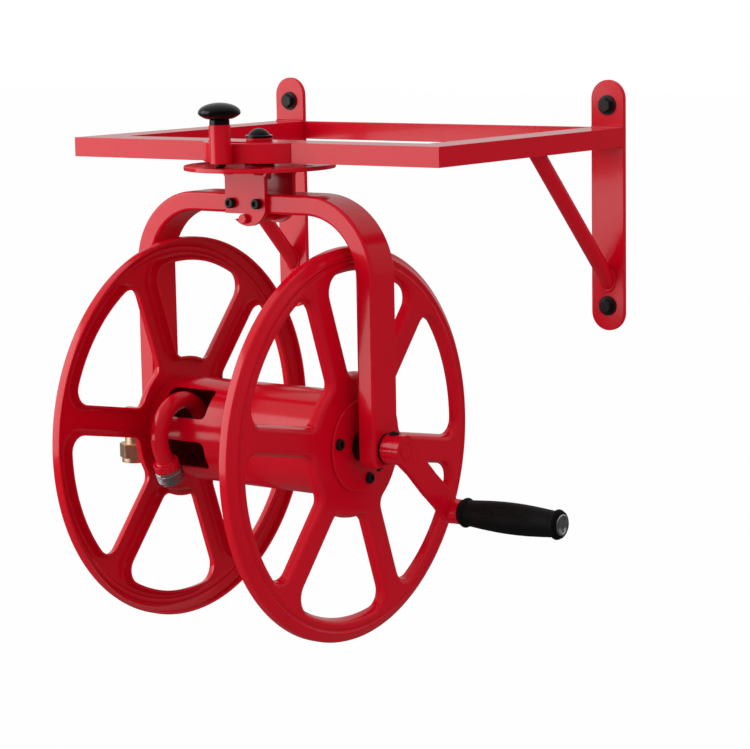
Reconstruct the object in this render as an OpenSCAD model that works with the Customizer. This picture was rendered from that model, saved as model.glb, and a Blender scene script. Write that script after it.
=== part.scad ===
// Wall-mounted swivelling garden hose reel with a hand crank. Millimetres, +Z up.
// The origin is the centre of the wall bolt pattern, on the wall. The reel stands out towards -Y.

/* [Wall plates] */
// Width of each wall plate
plate_w = 38.1; // [34:0.1:44]
// Height of each wall plate
plate_h = 254; // [240:1:300]
// Thickness of each wall plate
plate_t = 5; // [4:0.5:8]
// Distance between the wall bolts, side to side
bolt_span_x = 406.4; // [390:0.1:440]
// Distance between the wall bolts, up and down
bolt_span_z = 203.2; // [180:0.1:215]
// Diameter of the wall bolts' threads
lag_d = 8; // [6:0.5:10]
// How much thinner the wall bolts' bodies are than their threads
lag_relief = 1; // [0.8:0.1:1.5]
// Length of the wall bolts under the head
lag_length = 63.5; // [45:0.5:90]
// Width across the flats of the wall bolts' heads
lag_head_af = 12.7; // [11:0.1:14]
// Height of the wall bolts' heads
lag_head_h = 5.4; // [4:0.1:7]
// Diameter of the wall bolts' washers
lag_washer_d = 20; // [17:0.5:24]
// Thickness of the wall bolts' washers
lag_washer_t = 1.6; // [1:0.1:2.5]

/* [Frame] */
// Width of the frame's tubes, seen from above
bar_w = 38.1; // [34:0.1:42]
// Height of the frame's tubes
bar_h = 19.05; // [16:0.05:24]
// Wall thickness of the frame's tubes
bar_wall = 2; // [1.5:0.1:3]
// Corner radius of the frame's and the yoke's tubes
bar_corner = 3; // [2.5:0.1:4]
// Distance from the wall to the frame's front face
frame_depth = 330.2; // [325:0.1:345]
// Height of the frame's top above the bolt pattern's centre
frame_top = 79.4; // [74:0.1:84]
// Diameter of the brace tubes
brace_d = 15.9; // [13:0.1:19]
// Wall thickness of the brace tubes
brace_wall = 1.6; // [1:0.1:2.5]
// How far a brace reaches out along the side bar
brace_reach = 131.7; // [100:0.1:170]
// How far a brace reaches down the wall plate
brace_drop = 135; // [100:0.5:150]

/* [Swivel] */
// Diameter of the pivot bolt
pivot_d = 12.7; // [10:0.1:14]
// Diameter of the raised boss on top of the frame
boss_d = 26; // [22:0.5:30]
// Height of the raised boss
boss_h = 3; // [2:0.5:5]
// Diameter of the pivot bolt's flange
pivot_flange_d = 26.5; // [22:0.5:30]
// Thickness of the pivot bolt's flange
pivot_flange_t = 2.5; // [1.5:0.1:4]
// Diameter of the pivot bolt's domed head
pivot_head_d = 21; // [17:0.5:24]
// Height of the pivot bolt's domed head
pivot_head_h = 6.5; // [4:0.1:9]
// Diameter of the black spacer under the frame
spacer_d = 29; // [24:0.5:34]
// Thickness of the black spacer
spacer_t = 3.2; // [2:0.1:5]
// Radius of the round index plate
index_r = 73; // [70:0.5:80]
// Thickness of the index plate
index_t = 4; // [3:0.5:6]
// Number of holes that the latch can drop into
index_count = 8; // [4:4:8]
// Height of the swivel bracket from the yoke's top to the index plate
bracket_gap = 22.65; // [20:0.05:30]
// Width of the swivel bracket's plates
bracket_w = 48.8; // [44:0.1:56]
// Thickness of the swivel bracket's plates
bracket_t = 5; // [4:0.5:7]
// How far the bracket's top corners flare out
bracket_flare = 5; // [2:0.5:8]
// Distance between the two bracket bolts
bracket_bolt_span = 31.8; // [28:0.1:36]
// Diameter of the bracket bolts
bracket_bolt_d = 6.35; // [5:0.05:7]
// Diameter of the bracket bolts' round heads
bracket_head_d = 10; // [9:0.1:11]
// Height of the bracket bolts' heads
bracket_head_h = 5.6; // [4:0.1:7]
// Diameter of the hook pin
hook_pin_d = 9.5; // [8:0.1:11]
// How far the hook pin stands proud of the bracket
hook_pin_proud = 5; // [3:0.5:8]

/* [Latch] */
// Distance from the pivot to the latch pin
latch_reach = 58.5; // [57:0.1:60]
// Outer diameter of the latch tube
latch_tube_d = 20.5; // [18:0.1:22]
// Length of the latch tube
latch_tube_l = 36.7; // [33:0.1:42]
// How far the latch tube's bottom is above the frame's underside
latch_tube_lift = 0.65; // [0:0.05:2]
// Inner diameter of the latch tube
latch_bore_d = 15; // [14:0.1:16]
// Diameter of the latch pin
latch_pin_d = 10; // [8:0.1:11]
// Diameter of the black neck that the pin slides through
neck_d = 19; // [17:0.1:20]
// Height of the neck above the latch tube
neck_h = 5; // [4:0.1:7]
// Widest diameter of the latch knob
knob_d = 40.3; // [34:0.1:44]
// Height of the latch knob
knob_h = 15.4; // [12:0.1:20]
// How far the latch knob lifts
latch_lift = 9; // [6:0.5:10]
// Chord of the latch bow along the frame's front face
bow_chord = 107.2; // [96:0.1:116]
// Thickness of the latch bow's strap
bow_t = 5; // [4:0.5:6]

/* [Yoke] */
// Width of the yoke's tube, front to back
yoke_w = 38.1; // [34:0.1:42]
// Thickness of the yoke's tube
yoke_t = 19.05; // [16:0.05:21]
// Wall thickness of the yoke's tube
yoke_wall = 2.5; // [2:0.1:3]
// Distance between the outer faces of the yoke's legs
yoke_span = 289; // [285:0.5:310]
// Outer radius of the yoke's bends
yoke_bend = 76; // [60:1:90]
// Height from the yoke's top face to the axle
yoke_drop = 236.7; // [232:0.1:260]
// How far the legs reach below the axle
leg_tail = 17.8; // [16.5:0.1:24]
// Corner radius of the legs' lower ends
leg_end_r = 9; // [6:0.5:12]

/* [Reel] */
// Outer radius of the discs
disc_r = 189; // [184:0.5:195]
// Distance between the discs' raised outer faces
disc_span = 224; // [220:0.5:225]
// Thickness of the discs' sheet
disc_sheet = 2.2; // [1.8:0.1:2.6]
// How far the window flanges turn in
flange_depth = 10.5; // [8:0.5:12]
// How far the window flanges slope
flange_slope = 7; // [5:0.25:8]
// Inner radius of the windows at the outer face
window_r_in = 63; // [60:0.5:68]
// Outer radius of the windows at the outer face
window_r_out = 171.5; // [164:0.5:173]
// Width of a spoke's flat outer face
spoke_w = 15; // [12:0.5:18]
// Number of spokes
spoke_count = 6; // [5:1:6]
// Corner radius of the windows at the outer face, towards the rim
window_corner_out = 20; // [16:0.5:22]
// Corner radius of the windows at the outer face, towards the hub
window_corner_in = 17; // [14:0.5:18]
// How far the rim's edge is set in from the raised face
rim_set = 5; // [3:0.5:6]
// Depth of the rim's rolled edge
rim_roll = 10; // [8:0.1:11]
// Turn of the first spoke from level at rest
spoke_turn = -10.5; // [-30:0.5:30]
// Outer diameter of the drum
drum_d = 101.6; // [96:0.1:108]
// Wall thickness of the drum
drum_wall = 2; // [1.5:0.1:3]
// Thickness of the drum's end plates
drum_end_t = 4; // [3:0.5:6]
// Radius of the hub covers
cover_r = 44; // [42:0.5:48]
// Thickness of the hub covers
cover_t = 3; // [2:0.1:3.5]
// Radius of the hub screws' circle
hub_screw_r = 35; // [33:0.5:37]
// Diameter of the hub screws
hub_screw_d = 6; // [5:0.1:7]
// Diameter of the hub screws' heads
hub_head_d = 11.4; // [10:0.1:12]
// Height of the hub screws' heads
hub_head_h = 3.6; // [2.5:0.1:4.5]
// Diameter of the axle
axle_d = 19.05; // [17:0.05:20]
// Outer diameter of the axle bushes' flanges
bush_flange_d = 29.5; // [28:0.5:32]
// Outer diameter of the axle bushes inside the legs
bush_d = 24; // [23:0.1:25]

/* [Water] */
// Bore of the water shaft
water_bore = 12; // [10:0.1:13]
// Distance from the reel's middle to the outlet's plane
outlet_x = 75; // [72:0.5:80]
// Outer diameter of the outlet pipe
outlet_d = 17; // [14:0.1:17.5]
// Wall thickness of the outlet pipe
outlet_wall = 1.8; // [1.2:0.1:2.5]
// Bend radius of the outlet pipe
outlet_bend = 33; // [31:0.5:35]
// Diameter of the outlet's collar
collar_d = 25.6; // [24:0.1:28]
// Length of the outlet's collar
collar_l = 8; // [6:0.5:10]
// Diameter over the outlet's hose thread
hose_thread_d = 27; // [26.6:0.05:27.2]
// Length of the outlet's hose thread
hose_thread_l = 13; // [11:0.5:15]
// Distance from the left leg's outer face to the inlet's axis
inlet_reach = 26.5; // [26:0.1:32]
// Outer diameter of the brass inlet's body
inlet_body_d = 26; // [25:0.5:30]
// Outer diameter of the brass inlet's tail
inlet_tail_d = 21; // [19:0.1:22]
// Width across the flats of the inlet nut
inlet_nut_af = 28.6; // [28.4:0.1:32]
// Height of the inlet nut's hexagon
inlet_nut_h = 14.7; // [13:0.1:18]
// Height of the inlet nut's round collar
inlet_collar_h = 4.8; // [3:0.1:6]
// Diameter of the inlet nut's threaded hole
inlet_thread_d = 26; // [25:0.05:26.2]
// Distance from the axle down to the inlet nut's top
inlet_drop = 23.1; // [21:0.1:30]

/* [Crank] */
// Outer diameter of the crank's sleeve
sleeve_d = 28.6; // [27:0.1:31]
// Length of the crank's sleeve
sleeve_l = 14.5; // [12:0.1:20]
// Thickness of the ring between the leg and the sleeve
crank_ring_t = 2; // [1.5:0.1:3]
// Crank radius, from the axle to the grip
crank_r = 101.6; // [90:0.1:130]
// Turn of the crank from level at rest
crank_turn = -43.8; // [-60:0.1:30]
// Width of the crank arm
arm_w = 24.5; // [22:0.1:27]
// Thickness of the crank arm
arm_t = 6; // [5:0.1:8]
// How far the arm's outer part is bent out
arm_offset = 2; // [1:0.1:6]
// Length of the grip
grip_l = 112; // [100:0.5:130]
// Widest diameter of the grip
grip_d = 30.5; // [26:0.5:36]
// Narrowest diameter of the grip
grip_neck_d = 25; // [22:0.5:30]
// Diameter of the grip's pin
grip_pin_d = 10; // [8:0.1:12]

/* [Hidden] */

// Colours of the finishes
red = [0.72, 0.02, 0.08];
black = [0.07, 0.07, 0.08];
steel = [0.72, 0.73, 0.75];
brass = [0.80, 0.60, 0.28];
chrome = [0.86, 0.87, 0.88];

// Clearances: a shaft in its bore, two faces that turn past each other, and a bolt in its hole
shaft_fit = 0.05;
face_fit = 0.25;
bolt_fit = 0.4;
// A cut runs this far past the face that it opens
past = 1;
// Facets of round surfaces, of wide round surfaces and of a sloping window's round stretches
round_fn = 48;
wide_fn = 128;
corner_steps = 4;

// Frame
frame_bottom = frame_top - bar_h;
bar_mid_z = frame_top - bar_h / 2;
pivot_y = -(frame_depth - bar_w / 2);
side_x = bolt_span_x / 2;
side_inner = side_x - bar_w / 2;
side_outer = side_x + bar_w / 2;
brace_foot_z = frame_bottom - brace_drop;

// Swivel, from the frame down
index_top = frame_bottom - spacer_t - face_fit;
index_bottom = index_top - index_t;
pivot_nut_top = index_bottom - face_fit;
pivot_washer_t = 2;
pivot_nut_h = 8;
pivot_tail = 2;
yoke_top = index_bottom - bracket_gap;
yoke_bottom = yoke_top - yoke_t;
bracket_bolt_z = yoke_bottom + yoke_t / 2 + 0.5;
hook_pin_z = yoke_bottom - hook_pin_d / 2;
index_hole_d = latch_pin_d + 0.8;

// Latch
latch_y = pivot_y - latch_reach;
bow_sagitta = latch_reach - latch_tube_d / 2 - bar_w / 2;
bow_r = (bow_chord * bow_chord / 4 + bow_sagitta * bow_sagitta) / (2 * bow_sagitta);
bow_y = -frame_depth - bow_sagitta + bow_r;
latch_tube_z = frame_bottom + latch_tube_lift;
latch_tube_top = latch_tube_z + latch_tube_l;
neck_top = latch_tube_top + neck_h;
latch_guide = 5;
neck_depth = 8;
pin_shoulder_t = 2.5;
pin_tip_z = index_top + 0.3;
// How far the pin drops into the index plate, and how far it reaches up into the knob
latch_drop = 4;
pin_in_knob = 10;
pin_shoulder_z = latch_tube_z + latch_guide + latch_drop + face_fit;

// Yoke
axle_z = yoke_top - yoke_drop;
leg_out = yoke_span / 2;
leg_in = leg_out - yoke_t;
leg_end_z = axle_z - leg_tail;
grease_d = 5;
yoke_inner_r = 0.4;
// Height of the hook's centre above the hook pin
hook_rise = 16;

// Reel
disc_out = disc_span / 2;
disc_in = disc_out - disc_sheet;
cover_out = disc_out + cover_t;
drum_half = disc_in;
hub_bore = axle_d + 2 * shaft_fit;
spoke_pitch = 360 / spoke_count;
bush_gap = 0.3;

// Water
hub_l = 30;
hub_d = 32;
inlet_x = -(leg_out + inlet_reach);
inlet_nut_top = axle_z - inlet_drop;
inlet_nut_bottom = inlet_nut_top - inlet_nut_h - inlet_collar_h;
outlet_centre = [-39, 0.5];
outlet_end_turn = 205;
outlet_neck = 11;
outlet_bore = outlet_d - 2 * outlet_wall;
// Flare at the elbow's tail that holds the nut, and the grooves for the elbow's seals
inlet_flare_d = 24;
inlet_flare_h = 2.5;
inlet_flare_z = 4;
inlet_washer_t = 2.5;
inlet_washer_z = inlet_nut_top - inlet_flare_z - inlet_flare_h - face_fit - inlet_washer_t;
inlet_seat_d = inlet_thread_d - 0.8;
seal_d = 22.6;
seal_w = 2.6;
seal_x = -leg_out - 6;
seal_pitch = 4.5;

// Crank
ring_in = leg_out + face_fit;
ring_out = ring_in + crank_ring_t;
sleeve_out = ring_out + sleeve_l;
arm_out = sleeve_out + arm_t;
// Short stub between the arm and the grip, and the chrome cap in the grip's end
stub_d = 24;
stub_l = 11.3;
grip_x = arm_out + arm_offset + stub_l;
cap_d = 21;
cap_set = 4.5;
pin_end_set = 8;
// Set screw on top of the crank's sleeve
crank_screw_d = 6;
crank_screw_x = ring_out + sleeve_l / 2;

// Points of a rectangle with round corners, centred, with the given steps a corner
function round_rect_points(w, h, r, steps = 4) =
    [for (corner = [0:3])
        for (i = [0:steps])
            let (turn = 90 * corner + 90 * i / steps)
            let (sx = corner == 0 || corner == 3 ? 1 : -1)
            let (sy = corner < 2 ? 1 : -1)
            [sx * (w / 2 - r) + r * cos(turn), sy * (h / 2 - r) + r * sin(turn)]];

// Outline of a rectangular tube's wall
module tube_section(w, h, wall, r) {
    difference() {
        polygon(round_rect_points(w, h, r));
        polygon(round_rect_points(w - 2 * wall, h - 2 * wall, max(r - wall, 0.2), 2));
    }
}

// Places its children at the swivel's axis
module at_pivot() {
    translate([0, pivot_y, 0]) children();
}

// Places its children on the axle, with their own Z along the part's +X, X along +Y and Y along +Z
module on_axle(x = 0) {
    translate([x, pivot_y, axle_z]) rotate([90, 0, 90]) children();
}

// A ring or washer along Z, from z = 0 up
module ring(outer_d, inner_d, h) {
    difference() {
        cylinder(d = outer_d, h = h, $fn = round_fn);
        translate([0, 0, -past]) cylinder(d = inner_d, h = h + 2 * past, $fn = round_fn);
    }
}

// A hexagonal prism along Z, measured across its flats
module hexagon(af, h) {
    cylinder(d = af / cos(30), h = h, $fn = 6);
}

// Wall plate with fully round ends and its two bolt holes
module wall_plate(side) {
    translate([side * side_x, 0, 0]) rotate([90, 0, 0]) linear_extrude(plate_t) difference() {
        union() {
            square([plate_w, plate_h - plate_w], center = true);
            for (end = [-1, 1])
                translate([0, end * (plate_h - plate_w) / 2]) circle(d = plate_w, $fn = wide_fn);
        }
        for (end = [-1, 1])
            translate([0, end * bolt_span_z / 2]) circle(d = lag_d + bolt_fit, $fn = round_fn);
    }
}

module wall_plate_left() {
    color(red) wall_plate(-1);
}

module wall_plate_right() {
    color(red) wall_plate(1);
}

// Rectangular tube along X, centred on Y and Z
module frame_tube(length) {
    translate([-length / 2, 0, 0]) rotate([90, 0, 90]) linear_extrude(length)
        tube_section(bar_w, bar_h, bar_wall, bar_corner);
}

// Front tube, mitred at both ends and drilled for the pivot bolt
module frame_front() {
    color(red) difference() {
        intersection() {
            translate([0, pivot_y, bar_mid_z]) frame_tube(2 * side_outer);
            translate([0, 0, frame_bottom - past]) linear_extrude(bar_h + 2 * past)
                polygon([[-side_outer, -frame_depth], [side_outer, -frame_depth],
                         [side_inner, bar_w - frame_depth], [-side_inner, bar_w - frame_depth]]);
        }
        at_pivot() translate([0, 0, frame_bottom - past])
            cylinder(d = pivot_d, h = bar_h + 2 * past, $fn = round_fn);
    }
}

// Side tube, from the wall plate's face to the front mitre
module frame_side(side) {
    color(red) intersection() {
        translate([side * side_x, -frame_depth / 2, bar_mid_z]) rotate([0, 0, 90]) frame_tube(frame_depth);
        translate([0, 0, frame_bottom - past]) linear_extrude(bar_h + 2 * past)
            polygon([[side * side_outer, -frame_depth], [side * side_outer, -plate_t],
                     [side * side_inner, -plate_t], [side * side_inner, bar_w - frame_depth]]);
    }
}

module frame_left() {
    frame_side(-1);
}

module frame_right() {
    frame_side(1);
}

// Flat bar between the two wall plates
module frame_back() {
    gap = side_x - plate_w / 2;
    color(red) translate([-gap, -plate_t, frame_bottom]) cube([2 * gap, plate_t, bar_h]);
}

// Sloping tube from the side bar's underside to the wall plate, cut flat at both
module brace(side) {
    run = norm([brace_reach, brace_drop]);
    slope = atan2(brace_drop, brace_reach);
    color(red) intersection() {
        translate([side * side_x, -plate_t, brace_foot_z]) rotate([90 - slope, 0, 0])
            translate([0, 0, -brace_d]) ring(brace_d, brace_d - 2 * brace_wall, run + 2 * brace_d);
        translate([side * side_x - brace_d, -frame_depth, brace_foot_z - 2 * brace_d])
            cube([2 * brace_d, frame_depth - plate_t, brace_drop + 2 * brace_d]);
    }
}

module brace_left() {
    brace(-1);
}

module brace_right() {
    brace(1);
}

// Repeats its children at the four wall bolts, with their Z pointing into the wall
module at_wall_bolts() {
    for (side = [-1, 1], end = [-1, 1])
        translate([side * side_x, 0, end * bolt_span_z / 2]) rotate([-90, 0, 0]) children();
}

module wall_washers() {
    color(black) at_wall_bolts() translate([0, 0, -plate_t - lag_washer_t])
        ring(lag_washer_d, lag_d + bolt_fit, lag_washer_t);
}

// Lag bolts with rolled threads, seated on their washers. The body in the plate is thinner than the
// thread, which starts at the wall and ends in a point.
module wall_bolts() {
    seat = -plate_t - lag_washer_t;
    point = 1.5 * lag_d;
    color(black) at_wall_bolts() union() {
        translate([0, 0, seat - lag_head_h]) hexagon(lag_head_af, lag_head_h);
        translate([0, 0, seat]) cylinder(d = lag_d - lag_relief, h = past - seat, $fn = round_fn);
        cylinder(d = lag_d, h = seat + lag_length - point, $fn = round_fn);
        translate([0, 0, seat + lag_length - point])
            cylinder(d1 = lag_d, d2 = lag_d / 4, h = point, $fn = round_fn);
    }
}

module pivot_boss() {
    color(red) at_pivot() translate([0, 0, frame_top]) ring(boss_d, pivot_d, boss_h);
}

// Bolt with a flange and a domed head, down through the frame and the index plate
module pivot_bolt() {
    seat = frame_top + boss_h;
    dome_r = (pow(pivot_head_d / 2, 2) + pow(pivot_head_h, 2)) / (2 * pivot_head_h);
    tail = pivot_nut_top - pivot_washer_t - pivot_nut_h - pivot_tail;
    color(black) at_pivot() union() {
        translate([0, 0, seat]) cylinder(d = pivot_flange_d, h = pivot_flange_t, $fn = round_fn);
        intersection() {
            translate([0, 0, seat + pivot_flange_t + pivot_head_h - dome_r])
                sphere(r = dome_r, $fn = wide_fn);
            translate([0, 0, seat + pivot_flange_t])
                cylinder(d = pivot_flange_d, h = 2 * pivot_head_h, $fn = round_fn);
        }
        translate([0, 0, tail]) cylinder(d = pivot_d, h = seat - tail, $fn = round_fn);
    }
}

// Washer and nut that carry the swivelling part
module pivot_nut() {
    washer_d = 25;
    nut_af = 19;
    color(steel) at_pivot() {
        translate([0, 0, pivot_nut_top - pivot_washer_t]) ring(washer_d, pivot_d, pivot_washer_t);
        translate([0, 0, pivot_nut_top - pivot_washer_t - pivot_nut_h]) difference() {
            hexagon(nut_af, pivot_nut_h);
            translate([0, 0, -past]) cylinder(d = pivot_d, h = pivot_nut_h + 2 * past, $fn = round_fn);
        }
    }
}

module pivot_spacer() {
    color(black) at_pivot() translate([0, 0, frame_bottom - spacer_t]) ring(spacer_d, pivot_d, spacer_t);
}

// Strap bent round the front of the frame, which carries the latch tube
module latch_bow() {
    color(red) translate([0, bow_y, frame_bottom]) difference() {
        cylinder(r = bow_r, h = bar_h, $fn = wide_fn);
        translate([0, 0, -past]) cylinder(r = bow_r - bow_t, h = bar_h + 2 * past, $fn = wide_fn);
        translate([-2 * bow_r, -frame_depth - bow_y, -past]) cube([4 * bow_r, 4 * bow_r, bar_h + 2 * past]);
    }
}

// Places its children on the latch's axis
module at_latch() {
    translate([0, latch_y, 0]) children();
}

// Tube with a thick bottom that guides the pin
module latch_tube() {
    color(red) at_latch() difference() {
        translate([0, 0, latch_tube_z]) cylinder(d = latch_tube_d, h = latch_tube_l, $fn = round_fn);
        translate([0, 0, latch_tube_z + latch_guide])
            cylinder(d = latch_bore_d, h = latch_tube_l, $fn = round_fn);
        translate([0, 0, latch_tube_z - past])
            cylinder(d = latch_pin_d + 2 * shaft_fit, h = latch_guide + 2 * past, $fn = round_fn);
    }
}

// Black bush in the tube's top, above the spring
module latch_neck() {
    color(black) at_latch() difference() {
        union() {
            translate([0, 0, latch_tube_top]) cylinder(d = neck_d, h = neck_h, $fn = round_fn);
            translate([0, 0, latch_tube_top - neck_depth])
                cylinder(d = latch_bore_d, h = neck_depth + past / 2, $fn = round_fn);
        }
        translate([0, 0, latch_tube_top - neck_depth - past])
            cylinder(d = latch_pin_d + 2 * shaft_fit, h = neck_depth + neck_h + 2 * past, $fn = round_fn);
    }
}

// Pin with the shoulder that the spring presses on
module latch_pin() {
    chamfer = 1.5;
    color(black) at_latch() union() {
        translate([0, 0, pin_tip_z]) cylinder(d1 = latch_pin_d - 2 * chamfer, d2 = latch_pin_d, h = chamfer,
                                              $fn = round_fn);
        translate([0, 0, pin_tip_z + chamfer])
            cylinder(d = latch_pin_d, h = neck_top + pin_in_knob - pin_tip_z - chamfer, $fn = round_fn);
        translate([0, 0, pin_shoulder_z])
            cylinder(d = latch_bore_d - 1, h = pin_shoulder_t, $fn = round_fn);
    }
}

// Coil between the shoulder and the neck, drawn as the sleeve that it fills
module latch_spring() {
    bottom = pin_shoulder_z + pin_shoulder_t;
    top = latch_tube_top - neck_depth;
    color(steel) at_latch() translate([0, 0, bottom])
        ring(latch_bore_d - 1.2, latch_pin_d + 1.2, top - bottom);
}

// Mushroom knob, turned from one outline, with a recess that lets it drop over the neck
module latch_knob() {
    r = knob_d / 2;
    recess_r = neck_d / 2 + 0.3;
    waist = recess_r + 1.5;
    color(black) at_latch() translate([0, 0, neck_top + face_fit]) difference() {
        rotate_extrude($fn = wide_fn) polygon(concat(
            [[0, 0], [waist, 0]],
            [for (i = [0:4]) [waist + (r - 1 - waist) * sin(i * 20), 5.2 * (1 - cos(i * 20))]],
            [for (i = [0:12]) [r * cos(i * 7.5), 6 + (knob_h - 6) * sin(i * 7.5)]]));
        translate([0, 0, -past]) cylinder(r = recess_r, h = latch_drop + past, $fn = round_fn);
        translate([0, 0, -past]) cylinder(d = latch_pin_d, h = past + pin_in_knob - face_fit, $fn = round_fn);
    }
}

// Round plate with the holes that lock the swivel
module index_plate() {
    color(red) at_pivot() translate([0, 0, index_bottom]) difference() {
        cylinder(r = index_r, h = index_t, $fn = wide_fn);
        translate([0, 0, -past])
            cylinder(d = pivot_d + 2 * shaft_fit, h = index_t + 2 * past, $fn = round_fn);
        for (i = [0:index_count - 1])
            rotate([0, 0, -90 + 360 * i / index_count]) translate([latch_reach, 0, -past])
                cylinder(d = index_hole_d, h = index_t + 2 * past, $fn = round_fn);
    }
}

// Outline of a bracket plate: flared top, round foot with a hook, open towards -X under the yoke
module bracket_outline() {
    half = bracket_w / 2;
    flare_h = 7;
    hook_r = 23;
    hook_x = 3;
    hook_z = hook_pin_z + hook_rise;
    tip_turn = 226;
    end_turn = 360 - acos((half - hook_x) / hook_r);
    pin_r = hook_pin_d / 2;
    foot = [for (i = [0:14]) let (turn = tip_turn + (end_turn - tip_turn) * i / 14)
               [hook_x + hook_r * cos(turn), hook_z + hook_r * sin(turn)]];
    seat = [for (i = [0:10]) let (turn = 250 + (450 - 250) * i / 10)
               [pin_r * cos(turn), hook_pin_z + pin_r * sin(turn)]];
    difference() {
        polygon(concat(
            [[-half - bracket_flare, index_bottom], [-half, index_bottom - flare_h], [-half, yoke_bottom]],
            [for (i = [10:-1:0]) seat[i]], foot,
            [[half, index_bottom - flare_h], [half + bracket_flare, index_bottom]]));
        for (side = [-1, 1])
            translate([side * bracket_bolt_span / 2, bracket_bolt_z])
                circle(d = bracket_bolt_d, $fn = round_fn);
    }
}

// Bracket plate, in front of the yoke or behind it
module bracket_plate(near_y) {
    color(red) at_pivot() translate([0, near_y, 0]) rotate([90, 0, 0])
        linear_extrude(bracket_t) bracket_outline();
}

module bracket_front() {
    bracket_plate(-yoke_w / 2);
}

module bracket_rear() {
    bracket_plate(yoke_w / 2 + bracket_t);
}

// Repeats its children at the two bracket bolts, with their Z pointing to the back
module at_bracket_bolts() {
    at_pivot() for (side = [-1, 1])
        translate([side * bracket_bolt_span / 2, 0, bracket_bolt_z]) rotate([-90, 0, 0]) children();
}

// Bolts through both bracket plates and the yoke, with their heads at the front
module bracket_bolts() {
    grip_half = yoke_w / 2 + bracket_t;
    tail = 9;
    color(black) at_bracket_bolts() union() {
        translate([0, 0, -grip_half - bracket_head_h])
            cylinder(d = bracket_head_d, h = bracket_head_h, $fn = round_fn);
        translate([0, 0, -grip_half]) cylinder(d = bracket_bolt_d, h = 2 * grip_half + tail, $fn = round_fn);
    }
}

module bracket_nuts() {
    nut_af = 11;
    nut_h = 6;
    color(black) at_bracket_bolts() translate([0, 0, yoke_w / 2 + bracket_t]) difference() {
        hexagon(nut_af, nut_h);
        translate([0, 0, -past]) cylinder(d = bracket_bolt_d, h = nut_h + 2 * past, $fn = round_fn);
    }
}

// Pin under the yoke that hangs in the bracket's hooks
module hook_pin() {
    length = yoke_w + 2 * bracket_t + 2 * hook_pin_proud;
    color(red) at_pivot() translate([0, -length / 2, hook_pin_z]) rotate([-90, 0, 0])
        cylinder(d = hook_pin_d, h = length, $fn = round_fn);
}

// Bent tube from leg to leg, with the wall's outline made at one place
module yoke_tube(outline_w, outline_t, r, end_z) {
    mid = yoke_bend - yoke_t / 2;
    straight = yoke_span - 2 * yoke_bend;
    leg_l = yoke_top - yoke_bend - end_z;
    points = round_rect_points(outline_t, outline_w, r, 3);
    translate([-straight / 2, 0, yoke_top - yoke_t / 2]) rotate([90, 0, 90])
        linear_extrude(straight) rotate([0, 0, 90]) polygon(points);
    for (side = [0, 1]) mirror([side, 0, 0]) {
        translate([straight / 2, 0, yoke_top - yoke_bend]) rotate([90, 0, 0])
            rotate_extrude(angle = 90, $fn = wide_fn) translate([mid, 0]) polygon(points);
        translate([leg_out - yoke_t / 2, 0, end_z]) linear_extrude(leg_l) polygon(points);
    }
}

// Yoke: a square-cornered tube with rounded lower ends, drilled for its bolts and bushes
module yoke() {
    color(red) at_pivot() difference() {
        yoke_tube(yoke_w, yoke_t, bar_corner, leg_end_z);
        yoke_tube(yoke_w - 2 * yoke_wall, yoke_t - 2 * yoke_wall, yoke_inner_r, leg_end_z + yoke_wall);
        for (side = [-1, 1])
            translate([0, side * (yoke_w / 2 - leg_end_r), leg_end_z + leg_end_r]) rotate([0, 90, 0])
                translate([0, 0, -yoke_span]) difference() {
                    translate([-past, side > 0 ? 0 : -leg_end_r - past, 0])
                        cube([leg_end_r + 2 * past, leg_end_r + past, 2 * yoke_span]);
                    translate([0, 0, -past])
                        cylinder(r = leg_end_r, h = 2 * yoke_span + 2 * past, $fn = round_fn);
                    translate([-2 * past, -2 * leg_end_r, -past])
                        cube([2 * past, 4 * leg_end_r, 2 * yoke_span + 2 * past]);
                }
        translate([-yoke_span, 0, axle_z]) rotate([0, 90, 0])
            cylinder(d = bush_d, h = 2 * yoke_span, $fn = round_fn);
        for (side = [-1, 1])
            translate([side * bracket_bolt_span / 2, -yoke_w, bracket_bolt_z]) rotate([-90, 0, 0])
                cylinder(d = bracket_bolt_d, h = 2 * yoke_w, $fn = round_fn);
        translate([leg_out - yoke_t / 2, 0, leg_end_z - past])
            cylinder(d = grease_d, h = yoke_wall + 2 * past, $fn = round_fn);
    }
}

// Flanged bush in a leg, between the leg and the hub cover
module axle_bush() {
    flange_x = cover_out + bush_gap;
    on_axle() difference() {
        union() {
            translate([0, 0, flange_x]) cylinder(d = bush_flange_d, h = leg_in - flange_x, $fn = round_fn);
            translate([0, 0, flange_x]) cylinder(d = bush_d, h = leg_out - flange_x, $fn = round_fn);
        }
        translate([0, 0, flange_x - past])
            cylinder(d = axle_d + 2 * shaft_fit, h = yoke_span, $fn = round_fn);
    }
}

module bush_right() {
    color(black) axle_bush();
}

module bush_left() {
    color(black) mirror([1, 0, 0]) axle_bush();
}

// Small black fitting under the right leg
module grease_fitting() {
    color(black) at_pivot() translate([leg_out - yoke_t / 2, 0, 0]) union() {
        translate([0, 0, leg_end_z - 2]) hexagon(8, 2);
        translate([0, 0, leg_end_z - 5]) cylinder(d = 5, h = 3.5, $fn = round_fn);
        translate([0, 0, leg_end_z - 2]) cylinder(d = grease_d, h = 2 + yoke_wall, $fn = round_fn);
    }
}

// Corner of a window towards the rim, in a spoke's frame: X along the spoke, Y across it
function outer_corner(half, r_out, r) =
    let (v = half + r)
    let (u = sqrt(pow(r_out - r, 2) - v * v))
    let (last = atan2(v, u))
    [for (i = [0:corner_steps]) let (turn = -90 + (90 + last) * i / corner_steps)
        [u + r * cos(turn), v + r * sin(turn)]];

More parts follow.
